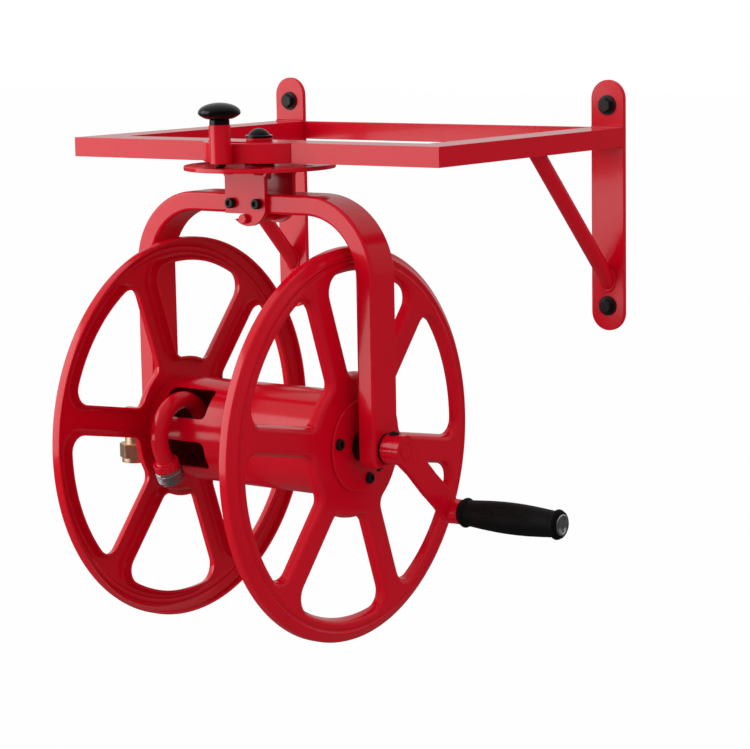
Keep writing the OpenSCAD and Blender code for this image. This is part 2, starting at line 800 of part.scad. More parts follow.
// Corner of a window towards the hub, in the same frame
function inner_corner(half, r_in, r) =
    let (v = half + r)
    let (u = sqrt(pow(r_in + r, 2) - v * v))
    let (first = atan2(v, u) + 180)
    [for (i = [0:corner_steps]) let (turn = first + (270 - first) * i / corner_steps)
        [u + r * cos(turn), v + r * sin(turn)]];

function turned(p, turn) = [p[0] * cos(turn) - p[1] * sin(turn), p[0] * sin(turn) + p[1] * cos(turn)];

function arc_points(r, from, to, steps) =
    [for (i = [1:steps - 1]) let (turn = from + (to - from) * i / steps) [r * cos(turn), r * sin(turn)]];

// Outline of one window about +X, anticlockwise. drawn_in is how far every edge is moved into the window.
function window_points(drawn_in) =
    let (half = spoke_w / 2 + drawn_in)
    let (r_in = window_r_in + drawn_in)
    let (r_out = window_r_out - 0.8 * drawn_in)
    let (side = [for (p = concat(inner_corner(half, r_in, window_corner_in - drawn_in),
                                 outer_corner(half, r_out, window_corner_out - drawn_in)))
                    turned(p, -spoke_pitch / 2)])
    let (last = len(side) - 1)
    let (other = [for (i = [last:-1:0]) [side[i][0], -side[i][1]]])
    let (out_turn = atan2(side[last][1], side[last][0]))
    let (in_turn = atan2(side[0][1], side[0][0]))
    concat(side, arc_points(r_out, out_turn, -out_turn, 6), other, arc_points(r_in, -in_turn, in_turn, 4));

// Solid between two like outlines at two heights
module loft(low, low_z, high, high_z) {
    n = len(low);
    points = concat([for (p = low) [p[0], p[1], low_z]], [for (p = high) [p[0], p[1], high_z]]);
    sides = [for (i = [0:n - 1], half = [0, 1]) let (j = (i + 1) % n)
                half == 0 ? [i, n + i, n + j] : [i, n + j, j]];
    polyhedron(points, concat([[for (i = [0:n - 1]) i], [for (i = [n - 1:-1:0]) n + i]], sides));
}

// A window's sloping plug, from below the flange to above the raised face. extra widens its outline.
module window_plug(low_z, high_z, extra) {
    slope = flange_slope / flange_depth;
    loft(window_points((disc_out - low_z) * slope - extra), low_z,
         window_points((disc_out - high_z) * slope - extra), high_z);
}

// Outline of the disc's sheet, turned about the axle: hub, raised ring, groove and rolled rim
module disc_section() {
    t = disc_sheet;
    groove_r = (window_r_out + disc_r) / 2 - 3;
    groove = 2;
    edge = disc_out - rim_set;
    polygon([[hub_bore / 2 + 3, disc_out], [hub_bore / 2 + 3, disc_in], [groove_r - 3.5, disc_in],
             [groove_r - 2.5, disc_in - groove], [groove_r + 2.5, disc_in - groove],
             [disc_r - 7, edge - t + 1], [disc_r - t, edge - t], [disc_r - t, edge - rim_roll],
             [disc_r, edge - rim_roll], [disc_r, edge - 1.5], [disc_r - 1.5, edge],
             [disc_r - 6, edge + 1], [groove_r + 3.5, disc_out - 0.6], [groove_r + 2, disc_out - groove],
             [groove_r - 2, disc_out - groove], [groove_r - 3, disc_out]]);
}

// Disc with six windows, each with a sloping flange, about its own axis at X = 0
module disc_body() {
    difference() {
        union() {
            rotate_extrude($fn = wide_fn) disc_section();
            for (i = [0:spoke_count - 1])
                rotate([0, 0, spoke_pitch * (i + 0.5)])
                    window_plug(disc_out - flange_depth, disc_out - disc_sheet / 2, disc_sheet);
        }
        for (i = [0:spoke_count - 1])
            rotate([0, 0, spoke_pitch * (i + 0.5)])
                window_plug(disc_out - flange_depth - past, disc_out + past, 0);
        for (i = [0:2])
            rotate([0, 0, 60 + 120 * i]) translate([hub_screw_r, 0, 0])
                cylinder(d = hub_screw_d, h = disc_span, $fn = round_fn);
    }
}

// Places its children as the right or the left end of the reel, at the spokes' rest angle
module reel_end(side) {
    mirror([side < 0 ? 1 : 0, 0, 0]) on_axle() rotate([0, 0, spoke_turn]) children();
}

module disc_left() {
    color(red) reel_end(-1) disc_body();
}

module disc_right() {
    color(red) reel_end(1) disc_body();
}

// Drum tube with two windows for the outlet pipe, with a strap between them
module drum() {
    window_l = 57;
    window_x = -95.5;
    turns = [40.5, -21.7];
    heights = [34, 30];
    color(red) difference() {
        on_axle(-drum_half) ring(drum_d, drum_d - 2 * drum_wall, 2 * drum_half);
        for (i = [0:1])
            translate([window_x, pivot_y, axle_z]) rotate([-turns[i], 0, 0]) rotate([90, 0, 0])
                translate([window_l / 2, 0, 0]) linear_extrude(drum_d)
                    polygon(round_rect_points(window_l, heights[i], 6));
    }
}

// Plate that closes one end of the drum and takes the hub screws
module drum_end(side) {
    color(steel) reel_end(side) difference() {
        translate([0, 0, drum_half - drum_end_t])
            cylinder(d = drum_d - 2 * drum_wall, h = drum_end_t, $fn = wide_fn);
        cylinder(d = axle_d, h = disc_span, $fn = round_fn);
        for (i = [0:2])
            rotate([0, 0, 60 + 120 * i]) translate([hub_screw_r, 0, 0])
                cylinder(d = hub_screw_d, h = disc_span, $fn = round_fn);
    }
}

module drum_end_left() {
    drum_end(-1);
}

module drum_end_right() {
    drum_end(1);
}

// Round plate over the middle of a disc
module hub_cover(side) {
    color(red) reel_end(side) difference() {
        translate([0, 0, disc_out]) cylinder(r = cover_r, h = cover_t, $fn = wide_fn);
        cylinder(d = axle_d, h = disc_span, $fn = round_fn);
        for (i = [0:2])
            rotate([0, 0, 60 + 120 * i]) translate([hub_screw_r, 0, 0])
                cylinder(d = hub_screw_d, h = disc_span, $fn = round_fn);
    }
}

module hub_cover_left() {
    hub_cover(-1);
}

module hub_cover_right() {
    hub_cover(1);
}

// Round-headed screws that hold each cover and disc to the drum
module hub_screws() {
    tail = 3;
    color(black) for (side = [-1, 1], i = [0:2])
        reel_end(side) rotate([0, 0, 60 + 120 * i]) translate([hub_screw_r, 0, 0]) union() {
            translate([0, 0, cover_out]) cylinder(d1 = hub_head_d, d2 = hub_head_d - 3, h = hub_head_h,
                                                  $fn = round_fn);
            translate([0, 0, disc_in - drum_end_t - tail])
                cylinder(d = hub_screw_d, h = cover_out - disc_in + drum_end_t + tail, $fn = round_fn);
        }
}

// Solid shaft from the water hub to the crank
module axle() {
    start = hub_l / 2 - outlet_x;
    color(steel) on_axle(start) cylinder(d = axle_d, h = arm_out - start, $fn = round_fn);
}

// Hollow shaft from the water hub out to the inlet
module water_shaft() {
    start = -outlet_x - hub_l / 2;
    end = inlet_x + inlet_tail_d / 2;
    color(steel) on_axle(end) ring(axle_d, water_bore, start - end);
}

// Block in the drum that joins the two shafts and feeds the outlet pipe
module water_hub() {
    color(steel) difference() {
        on_axle(-outlet_x - hub_l / 2) cylinder(d = hub_d, h = hub_l, $fn = round_fn);
        on_axle(-outlet_x - hub_l / 2 - past)
            cylinder(d = water_bore, h = past + hub_l / 2 + outlet_d / 4, $fn = round_fn);
        outlet_rod(outlet_bore, -10, 60);
    }
}

// Bent rod along the outlet pipe's bend, of the given diameter, between two turns
module outlet_rod(d, from, to) {
    translate([-outlet_x, pivot_y + outlet_centre[0], axle_z + outlet_centre[1]]) rotate([90, 0, 90])
        rotate([0, 0, from]) rotate_extrude(angle = to - from, $fn = wide_fn)
            translate([outlet_bend, 0]) circle(d = d, $fn = round_fn);
}

// Places its children at the end of the outlet pipe, with their Z along the flow
module at_outlet_end() {
    translate([-outlet_x, pivot_y + outlet_centre[0], axle_z + outlet_centre[1]]) rotate([90, 0, 90])
        rotate([0, 0, outlet_end_turn]) translate([outlet_bend, 0, 0]) rotate([-90, 0, 0]) children();
}

// Gooseneck from the water hub out through the drum's window
module outlet_pipe() {
    color(red) difference() {
        outlet_rod(outlet_d, 0, outlet_end_turn);
        outlet_rod(outlet_bore, -10, outlet_end_turn + 5);
        on_axle(-outlet_x - hub_l / 2) cylinder(d = hub_d, h = hub_l, $fn = round_fn);
    }
}

// Straight neck and collar at the outlet pipe's end
module outlet_collar() {
    color(red) at_outlet_end() difference() {
        union() {
            cylinder(d = outlet_d, h = outlet_neck + collar_l / 2, $fn = round_fn);
            translate([0, 0, outlet_neck]) cylinder(d = collar_d, h = collar_l, $fn = round_fn);
        }
        translate([0, 0, -past])
            cylinder(d = outlet_bore, h = outlet_neck + collar_l + 2 * past, $fn = round_fn);
    }
}

// Nipple with the outlet's hose thread
module outlet_thread() {
    end_step = 1.5;
    color(steel) at_outlet_end() translate([0, 0, outlet_neck + collar_l]) difference() {
        union() {
            cylinder(d = hose_thread_d, h = hose_thread_l, $fn = round_fn);
            cylinder(d = hose_thread_d - 2 * end_step, h = hose_thread_l + end_step, $fn = round_fn);
        }
        translate([0, 0, -past])
            cylinder(d = outlet_bore, h = hose_thread_l + end_step + 2 * past, $fn = round_fn);
    }
}

// Brass elbow: it holds the water shaft's end and turns down to the hose nut
module inlet_elbow() {
    back = inlet_x - inlet_body_d / 2;
    tail_bottom = inlet_nut_top - inlet_flare_z - inlet_flare_h;
    bore = inlet_tail_d - 5;
    color(brass) difference() {
        union() {
            on_axle(back) cylinder(d = inlet_body_d, h = -leg_out - back, $fn = round_fn);
            translate([inlet_x, pivot_y, tail_bottom])
                cylinder(d = inlet_tail_d, h = axle_z - tail_bottom, $fn = round_fn);
            translate([inlet_x, pivot_y, tail_bottom])
                cylinder(d = inlet_flare_d, h = inlet_flare_h, $fn = round_fn);
        }
        on_axle(inlet_x + inlet_tail_d / 2 - face_fit)
            cylinder(d = axle_d + 2 * shaft_fit, h = inlet_body_d + inlet_reach, $fn = round_fn);
        on_axle(inlet_x) cylinder(d = water_bore, h = inlet_body_d, $fn = round_fn);
        for (i = [0:1])
            on_axle(seal_x - i * seal_pitch) ring(seal_d, axle_d, seal_w);
        translate([inlet_x, pivot_y, tail_bottom - past])
            cylinder(d = bore, h = axle_z - tail_bottom + past, $fn = round_fn);
    }
}

// Rubber rings between the elbow and the water shaft
module inlet_seals() {
    color(black) for (i = [0:1])
        on_axle(seal_x - i * seal_pitch) ring(seal_d, axle_d + 2 * shaft_fit, seal_w);
}

// Hexagonal nut with a round collar, free to turn on the elbow's tail
module inlet_nut() {
    chamfer = 1.5;
    round_d = inlet_nut_af / cos(30);
    total = inlet_nut_h + inlet_collar_h;
    lip = inlet_flare_z - face_fit;
    color(brass) translate([inlet_x, pivot_y, inlet_nut_bottom]) difference() {
        union() {
            intersection() {
                translate([0, 0, inlet_collar_h]) hexagon(inlet_nut_af, inlet_nut_h);
                union() {
                    cylinder(d = round_d + past, h = total - chamfer, $fn = round_fn);
                    translate([0, 0, total - chamfer])
                        cylinder(d1 = round_d, d2 = round_d - 2 * chamfer, h = chamfer, $fn = round_fn);
                }
            }
            cylinder(d = inlet_nut_af - 0.4, h = inlet_collar_h, $fn = round_fn);
        }
        translate([0, 0, -past])
            cylinder(d = inlet_thread_d, h = inlet_washer_z - inlet_nut_bottom + past, $fn = round_fn);
        cylinder(d = inlet_seat_d, h = total - lip, $fn = round_fn);
        cylinder(d = inlet_tail_d + 2 * shaft_fit, h = total + past, $fn = round_fn);
    }
}

// Rubber washer inside the nut, under the elbow's flare
module inlet_washer() {
    color(black) translate([inlet_x, pivot_y, inlet_washer_z])
        ring(inlet_seat_d - 0.6, inlet_tail_d - 5, inlet_washer_t);
}

module crank_ring() {
    color(black) on_axle(ring_in) ring(bush_flange_d, axle_d, crank_ring_t);
}

module crank_sleeve() {
    color(red) difference() {
        on_axle(ring_out) ring(sleeve_d, axle_d, sleeve_l);
        translate([crank_screw_x, pivot_y, axle_z]) cylinder(d = crank_screw_d, h = sleeve_d, $fn = round_fn);
    }
}

// Set screw on top of the sleeve
module crank_screw() {
    head = 2.2;
    color(black) translate([crank_screw_x, pivot_y, axle_z]) union() {
        translate([0, 0, axle_d / 2])
            cylinder(d = crank_screw_d, h = (sleeve_d - axle_d) / 2, $fn = round_fn);
        translate([0, 0, sleeve_d / 2]) cylinder(d = crank_screw_d + 3, h = head, $fn = round_fn);
    }
}

// Flat arm with a round top end, its outer part bent out
module crank_arm() {
    top_r = 14.5;
    bend_start = 0.55 * crank_r;
    bend_end = 0.75 * crank_r;
    far = crank_r + arm_w;
    color(red) on_axle() rotate([0, 0, crank_turn]) difference() {
        union() {
            intersection() {
                linear_extrude(2 * arm_out) union() {
                    circle(r = top_r, $fn = wide_fn);
                    polygon([[0, -top_r], [1.6 * top_r, -arm_w / 2], [crank_r, -arm_w / 2],
                             [crank_r, arm_w / 2], [1.6 * top_r, arm_w / 2], [0, top_r]]);
                    translate([crank_r, 0]) circle(d = arm_w, $fn = wide_fn);
                }
                translate([0, arm_w, 0]) rotate([90, 0, 0]) linear_extrude(2 * arm_w)
                    polygon([[-arm_w, sleeve_out], [bend_start, sleeve_out],
                             [bend_end, sleeve_out + arm_offset], [far, sleeve_out + arm_offset],
                             [far, arm_out + arm_offset],
                             [bend_end, arm_out + arm_offset], [bend_start, arm_out], [-arm_w, arm_out]]);
            }
            translate([crank_r, 0, arm_out + arm_offset])
                cylinder(d = stub_d, h = grip_x - face_fit - arm_out - arm_offset, $fn = round_fn);
        }
        translate([0, 0, sleeve_out - past]) cylinder(d = axle_d, h = arm_t + 2 * past, $fn = round_fn);
        translate([crank_r, 0, sleeve_out]) cylinder(d = grip_pin_d, h = arm_out, $fn = round_fn);
    }
}

// Places its children on the grip's axis, from the arm's inner face out
module at_grip() {
    on_axle() rotate([0, 0, crank_turn]) translate([crank_r, 0, 0]) children();
}

// Pin through the arm, with a collar that keeps the grip on
module grip_pin() {
    keeper = 3;
    color(steel) at_grip() union() {
        translate([0, 0, sleeve_out + arm_offset])
            cylinder(d = grip_pin_d, h = grip_x + grip_l - pin_end_set - sleeve_out - arm_offset,
                     $fn = round_fn);
        translate([0, 0, grip_x + grip_l - pin_end_set])
            cylinder(d = grip_pin_d + 5, h = keeper, $fn = round_fn);
    }
}

// Rubber grip, slightly barrelled, with a collar at each end
module grip() {
    r = grip_neck_d / 2;
    swell = (grip_d - grip_neck_d) / 2;
    collar = 7;
    pocket = 9;
    color(black) at_grip() translate([0, 0, grip_x]) difference() {
        rotate_extrude($fn = 64) polygon(concat(
            [[0, 0], [r, 0], [r + 2, 1.5], [r + 2, collar]],
            [for (i = [0:10]) [r + swell * sin(18 * i), collar + 1 + (grip_l - 2 * collar - 2) * i / 10]],
            [[r + 1, grip_l - collar], [r + 1, grip_l], [0, grip_l]]));
        translate([0, 0, -past])
            cylinder(d = grip_pin_d + 2 * shaft_fit, h = grip_l + 2 * past, $fn = round_fn);
        translate([0, 0, grip_l - pocket]) cylinder(d = cap_d, h = pocket + past, $fn = round_fn);
    }
}

// Cap pressed into the grip's end, with a shallow dish
module grip_cap() {
    wall = 2;
    dish = 1.6;
    color(chrome) at_grip() translate([0, 0, grip_x + grip_l - cap_set]) difference() {
        cylinder(d = cap_d, h = 6, $fn = round_fn);
        translate([0, 0, 6 - dish]) cylinder(d = cap_d - 2 * wall - 2, h = dish + past, $fn = round_fn);
    }
}

wall_plate_left();
wall_plate_right();
frame_front();
frame_left();
frame_right();
frame_back();
brace_left();
brace_right();
wall_bolts();
wall_washers();
pivot_boss();
pivot_bolt();
pivot_nut();
pivot_spacer();
latch_bow();
latch_tube();
latch_neck();
latch_pin();
latch_spring();
latch_knob();
index_plate();
bracket_front();
bracket_rear();
bracket_bolts();
bracket_nuts();
hook_pin();
yoke();
bush_left();
bush_right();
grease_fitting();
disc_left();
disc_right();
drum();
drum_end_left();
drum_end_right();
hub_cover_left();
hub_cover_right();
hub_screws();
axle();
water_shaft();
water_hub();
outlet_pipe();
outlet_collar();
outlet_thread();
inlet_elbow();
inlet_seals();
inlet_nut();
inlet_washer();
crank_ring();
crank_sleeve();
crank_screw();
crank_arm();
grip_pin();
grip();
grip_cap();
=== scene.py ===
# %% [markdown]
# A wall-mounted hose reel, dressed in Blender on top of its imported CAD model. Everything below
# is modelled in millimetres, because small numbers such as a 0.5 mm edge are easier to read,
# and each piece is scaled to metres just before it becomes an object.

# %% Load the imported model
import math
from math import cos, pi, radians, sin

import bmesh
import bpy
from mathutils import Matrix, Vector


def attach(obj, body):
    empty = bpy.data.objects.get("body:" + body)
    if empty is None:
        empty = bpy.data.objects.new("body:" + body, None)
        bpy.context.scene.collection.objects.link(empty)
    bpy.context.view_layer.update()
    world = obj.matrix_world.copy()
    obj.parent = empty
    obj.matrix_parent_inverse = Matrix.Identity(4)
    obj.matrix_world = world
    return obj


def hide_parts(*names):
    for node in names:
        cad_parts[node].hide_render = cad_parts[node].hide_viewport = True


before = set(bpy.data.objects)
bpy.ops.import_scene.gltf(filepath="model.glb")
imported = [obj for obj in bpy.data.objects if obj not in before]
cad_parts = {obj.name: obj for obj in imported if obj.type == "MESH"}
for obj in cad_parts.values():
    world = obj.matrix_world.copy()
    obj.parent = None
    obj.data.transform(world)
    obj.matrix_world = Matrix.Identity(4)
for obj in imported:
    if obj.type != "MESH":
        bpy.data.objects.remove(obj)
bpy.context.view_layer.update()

# %% [markdown]
# The photograph was taken from the front right, a little above the reel, with a long lens.
# Points whose place is known on the frame, such as its corners and its bolts, gave the camera's
# direction, distance and lens, so the camera is written down here as numbers. A camera looks
# along its own -Z with +Y up, so its three axes are the columns of its matrix.

# %% The camera
yaw, pitch, roll = radians(36.38), radians(8.72), radians(-1.01)
distance, lens_mm = 2.49148, 118.91
aim = Vector((0, -0.2, -0.133))

forward = Vector((-sin(yaw) * cos(pitch), cos(yaw) * cos(pitch), -sin(pitch)))
level = Vector((cos(yaw), sin(yaw), 0))
steep = level.cross(forward)
image_x = cos(roll) * level + sin(roll) * steep
image_y = -sin(roll) * level + cos(roll) * steep
eye = aim - forward * distance + level * 0.04092 + steep * -0.02933

camera = bpy.data.objects.new("camera", bpy.data.cameras.new("camera"))
bpy.context.scene.collection.objects.link(camera)
bpy.context.scene.camera = camera
camera.data.lens = lens_mm
camera.data.sensor_width = 36
camera.data.clip_end = 60
camera.matrix_world = Matrix((image_x, image_y, -forward)).transposed().to_4x4()
camera.location = eye
bpy.context.scene.view_settings.view_transform = "Standard"
print("camera at", [round(c, 3) for c in eye])

# %% [markdown]
# Shader maths reads best as plain Python. The class below wraps a socket, so that an expression
# such as 1 - mask * 0.3 adds the Math nodes for it. Everything else goes through one method,
# node(), which takes a node's type, its settings and the values or links of its sockets.

# %% A small language for materials
class Wire:
    """The output of a shader node, ready for sums."""

    def __init__(self, tree, socket):
        self.tree, self.socket = tree, socket

    def sum(self, operation, *values):
        made = self.tree.nodes.new("ShaderNodeMath")
        made.operation = operation
        for socket, value in zip(made.inputs, values):
            plug(self.tree, value, socket)
        return Wire(self.tree, made.outputs[0])

    def __add__(self, other):
        return self.sum("ADD", self, other)

    def __radd__(self, other):
        return self.sum("ADD", other, self)

    def __sub__(self, other):
        return self.sum("SUBTRACT", self, other)

    def __rsub__(self, other):
        return self.sum("SUBTRACT", other, self)

    def __mul__(self, other):
        return self.sum("MULTIPLY", self, other)

    def __rmul__(self, other):
        return self.sum("MULTIPLY", other, self)


def plug(tree, value, socket):
    """Links a wire to a socket, or writes a plain value on it."""
    if isinstance(value, Wire):
        tree.links.new(value.socket, socket)
    else:
        socket.default_value = value


class Finish:
    """A material or a world, written as one short recipe."""

    def __init__(self, name, holder=None):
        self.made = holder or bpy.data.materials.new(name)
        self.made.use_nodes = True
        self.tree = self.made.node_tree
        self.tree.nodes.clear()

    def node(self, kind, settings, inputs, out=0):
        made = self.tree.nodes.new(kind)
        for key, value in settings.items():
            setattr(made, key, value)
        for key, value in inputs.items():
            plug(self.tree, value, made.inputs[key])
        return Wire(self.tree, made.outputs[out]) if made.outputs else made

    def place(self):
        """Object coordinates, which stay with the piece when it moves."""
        return self.node("ShaderNodeTexCoord", {}, {}, "Object")

    def axis(self, name):
        """One axis of the object coordinates, in metres."""
        return self.node("ShaderNodeSeparateXYZ", {}, {"Vector": self.place()}, name)

    def noise(self, scale, detail=2.0, rough=0.5):
        """Noise between 0 and 1. A scale of 400 has lumps of 2.5 mm."""
        return self.node("ShaderNodeTexNoise", {}, {"Vector": self.place(), "Scale": scale,
                                                    "Detail": detail, "Roughness": rough}, "Fac")

    def between(self, amount, low, high):
        """A colour from low to high."""
        return self.node("ShaderNodeMix", {"data_type": "RGBA"}, {0: amount, 6: low, 7: high}, 2)

    def span(self, value, low, high, to_low, to_high):
        """The value's range from low to high stretched to a new one, smoothly."""
        return self.node("ShaderNodeMapRange", {"interpolation_type": "SMOOTHSTEP"},
                         {"Value": value, "From Min": low, "From Max": high,
                          "To Min": to_low, "To Max": to_high})

    def bump(self, height, depth):
        """Normals for a height between 0 and 1 that stands for depth in metres."""
        return self.node("ShaderNodeBump", {}, {"Height": height, "Distance": depth, "Strength": 1.0})

    def surface(self, inputs):
        """The usual shader, with its sockets by name."""
        shader = self.node("ShaderNodeBsdfPrincipled", {}, inputs)
        self.node("ShaderNodeOutputMaterial", {}, {"Surface": shader})
        return self.made


print("material helpers ready")

# %% [markdown]
# Powder-coated steel is baked plastic paint: saturated, smooth to a few hundredths of a
# millimetre, and covered by very shallow waves called orange peel, which only show in
# reflections. So the colour varies by a few percent, the waves are a bump of 0.03 mm, and a thin
# coat gives the sharp highlights over the softer base.

# %% Red powder coat
def red_powder_coat():
    paint = Finish("red_powder_coat")
    patches = paint.noise(14.0, 3.0)
    colour = paint.between(patches, (0.58, 0.0008, 0.011, 1), (0.66, 0.0012, 0.015, 1))
    peel = paint.noise(260.0, 2.0)
    dust = paint.noise(1500.0, 1.0)
    return paint.surface({
        "Base Color": colour,
        "Roughness": 0.15 + 0.05 * patches + 0.02 * dust,
        "IOR": 1.5,
        "Specular IOR Level": 0.35,
        "Coat Weight": 0.15,
        "Coat Roughness": 0.05,
        "Normal": paint.bump(peel * 0.85 + dust * 0.15, 0.00003),
    })


red_paint = red_powder_coat()
print("made", red_paint.name)

# %% [markdown]
# The bolts are blackened steel: a dark, slightly brown grey that is still metal, duller in some
# patches where the oil has dried. The knob and the dome on the pivot are glossy black plastic,
# and the grip is matte rubber with a fine grain from its mould and fine ribs on its upper side: a
# sine wave of 3000 radians a metre, which is a rib every 2.1 mm, faded out at both ends.

# %% Black oxide, black plastic and rubber
def black_oxide():
    steel = Finish("black_oxide")
    patches = steel.noise(320.0, 4.0, 0.6)
    grain = steel.noise(2600.0, 1.0)
    return steel.surface({
        "Base Color": steel.between(patches, (0.006, 0.006, 0.007, 1), (0.022, 0.020, 0.019, 1)),
        "Metallic": 0.35 + 0.3 * patches,
        "Roughness": 0.34 + 0.16 * patches,
        "Normal": steel.bump(grain, 0.00002),
    })


def black_gloss():
    plastic = Finish("black_gloss")
    waves = plastic.noise(120.0, 2.0)
    return plastic.surface({
        "Base Color": plastic.between(waves, (0.002, 0.002, 0.002, 1), (0.004, 0.004, 0.004, 1)),
        "Roughness": 0.08 + 0.07 * waves,
        "Specular IOR Level": 0.22,
        "Coat Weight": 0.08,
        "Coat Roughness": 0.04,
        "Normal": plastic.bump(waves, 0.00004),
    })


def matte_rubber():
    rubber = Finish("matte_rubber")
    grain = rubber.noise(1900.0, 3.0, 0.65)
    patches = rubber.noise(60.0, 2.0)
    along, up = rubber.axis("X"), rubber.axis("Z")
    wave, fade = 3000, 0.010
    ribs_from, ribs_to, grip_middle = 0.205, 0.268, -0.278
    ribs = 0.5 + 0.5 * along.sum("SINE", along * wave)
    here = (rubber.span(along, ribs_from, ribs_from + fade, 0, 1)
            * rubber.span(along, ribs_to - fade, ribs_to, 1, 0))
    here = here * rubber.span(up, grip_middle, grip_middle + 0.008, 0, 1)
    return rubber.surface({
        "Base Color": rubber.between(patches, (0.003, 0.003, 0.003, 1), (0.006, 0.006, 0.006, 1)),
        "Roughness": 0.50 + 0.14 * grain,
        "Specular IOR Level": 0.15,
        "Normal": rubber.bump(grain * 0.15 + ribs * here * 0.85, 0.0006),
    })


black_steel, black_plastic, black_rubber = black_oxide(), black_gloss(), matte_rubber()
print("made", black_steel.name, black_plastic.name, black_rubber.name)

# %% [markdown]
# The metals differ in how they were worked. The zinc-plated shafts and the hose thread carry fine
# turning marks, which are rings round the axis, so their noise is squeezed along one axis with a
# Mapping node. Brass is warmer and darkens in places, and the chrome cap is almost a mirror.

# %% Bright metals
def turned_metal(name, dark, light, low_rough, high_rough, marks):
    metal = Finish(name)
    stretched = metal.node("ShaderNodeMapping", {}, {"Vector": metal.place(), "Scale": marks})
    rings = metal.node("ShaderNodeTexNoise", {}, {"Vector": stretched, "Scale": 1.0,
                                                  "Detail": 2.0}, "Fac")
    patches = metal.noise(150.0, 4.0, 0.6)
    return metal.surface({
        "Base Color": metal.between(patches, dark, light),
        "Metallic": 1.0,
        "Roughness": low_rough + (high_rough - low_rough) * (0.6 * patches + 0.4 * rings),
        "Normal": metal.bump(rings, 0.00002),
    })


zinc = turned_metal("zinc_plate", (0.50, 0.50, 0.52, 1), (0.68, 0.68, 0.69, 1), 0.22, 0.38,
                    (3000, 120, 120))
brass = turned_metal("brass", (0.74, 0.46, 0.27, 1), (0.90, 0.66, 0.44, 1), 0.28, 0.42,
                     (120, 120, 2500))
chrome = turned_metal("chrome_plate", (0.62, 0.62, 0.60, 1), (0.74, 0.74, 0.72, 1), 0.06, 0.12,
                      (2500, 200, 200))
print("made", zinc.name, brass.name, chrome.name)

# %% [markdown]
# Four helpers turn a bmesh into a finished piece. soften() rounds every sharp edge, because a
# real edge always catches a thin line of light. lathe() spins an outline round its Z axis, as a
# turned part is made. from_cad() copies a CAD node: its mesh is loose triangles, so the copy is
# merged and its flat faces joined before anything else. keep() places, shades and names a piece.

# %% Helpers for making pieces
def sharp_edges(bm, angle=35):
    return [e for e in bm.edges if len(e.link_faces) == 2 and e.calc_face_angle(0) > radians(angle)]


def soften(bm, width, segments=2, angle=35, edges=None):
    bmesh.ops.bevel(bm, geom=edges or sharp_edges(bm, angle), offset=width, offset_type="OFFSET",
                    segments=segments, profile=0.5, affect="EDGES", material=-1, clamp_overlap=True)
    return bm


def chain(bm, outline):
    """Vertices joined by edges, through points given as (radius, height)."""
    verts = [bm.verts.new((r, 0, z)) for r, z in outline]
    edges = [bm.edges.new(pair) for pair in zip(verts, verts[1:])]
    return verts + edges


def lathe(outline, steps=64, bm=None):
    bm = bm or bmesh.new()
    bmesh.ops.spin(bm, geom=chain(bm, outline), cent=(0, 0, 0), axis=(0, 0, 1), angle=2 * pi,
                   steps=steps, use_merge=True)
    bmesh.ops.remove_doubles(bm, verts=bm.verts, dist=0.001)
    bmesh.ops.recalc_face_normals(bm, faces=bm.faces)
    return bm


def bend(centre, radius, start, end, steps=8):
    """Points of an arc in an outline, from one angle to another in degrees."""
    turns = [radians(start + (end - start) * i / steps) for i in range(steps + 1)]
    return [(centre[0] + radius * cos(t), centre[1] + radius * sin(t)) for t in turns]


def from_cad(node):
    bm = bmesh.new()
    bm.from_mesh(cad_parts[node].data)
    bmesh.ops.scale(bm, vec=(1000, 1000, 1000), verts=bm.verts)
    bmesh.ops.remove_doubles(bm, verts=bm.verts, dist=0.003)
    bmesh.ops.dissolve_limit(bm, angle_limit=radians(0.4), verts=bm.verts, edges=bm.edges)
    return bm


def block(low, high):
    """A box between two corners."""
    bm = bmesh.new()
    bmesh.ops.create_cube(bm, size=1)
    bmesh.ops.scale(bm, vec=Vector(high) - Vector(low), verts=bm.verts)
    bmesh.ops.translate(bm, vec=(Vector(high) + Vector(low)) / 2, verts=bm.verts)
    return bm


def keep(bm, name, body, material, replaces=(), at=None, flat=45):
    """Places a mesh made in millimetres, shades it and hands it to its CAD body."""
    if at is not None:
        bmesh.ops.transform(bm, matrix=at, verts=bm.verts)
        if at.determinant() < 0:
            bmesh.ops.reverse_faces(bm, faces=bm.faces)
    bmesh.ops.scale(bm, vec=(0.001, 0.001, 0.001), verts=bm.verts)
    for face in bm.faces:
        face.smooth = True
    for edge in bm.edges:
        edge.smooth = len(edge.link_faces) == 2 and edge.calc_face_angle(0) < radians(flat)
    mesh = bpy.data.meshes.new(name)
    bm.to_mesh(mesh)
    bm.free()
    piece = bpy.data.objects.new(name, mesh)
    bpy.context.scene.collection.objects.link(piece)
    mesh.materials.append(material)
    shade = piece.modifiers.new("even_shading", "WEIGHTED_NORMAL")
    shade.keep_sharp = True
    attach(piece, body)
    if replaces:
        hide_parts(*replaces)
    print(f"{name}: {len(mesh.polygons)} faces on {body}")
    return piece


# %% [markdown]
# A few sizes come back in many pieces, so they are written once: where the swivel's axis and
# the axle are, the frame's heights, the wall bolts and the discs. The axle runs along X, so its
# matrix turns a lathe's Z into X, its X into Y and its Y into Z, just as the CAD source does.

# %% Places on the reel
pivot_y, axle_z = -311.15, -206.45
frame_low, frame_high, frame_front = 60.35, 79.4, -330.2
bar_inner, bar_outer = 184.15, 222.25
latch_y = -369.65
spoke_turn = radians(-10.5)
bolt_x, bolt_z = 203.2, 101.6
disc_x = 112.0


def on_axle(x=0.0, turn=0.0):
    base = Matrix(((0, 0, 1, x), (1, 0, 0, pivot_y), (0, 1, 0, axle_z), (0, 0, 0, 1)))
    return base @ Matrix.Rotation(turn, 4, "Z")


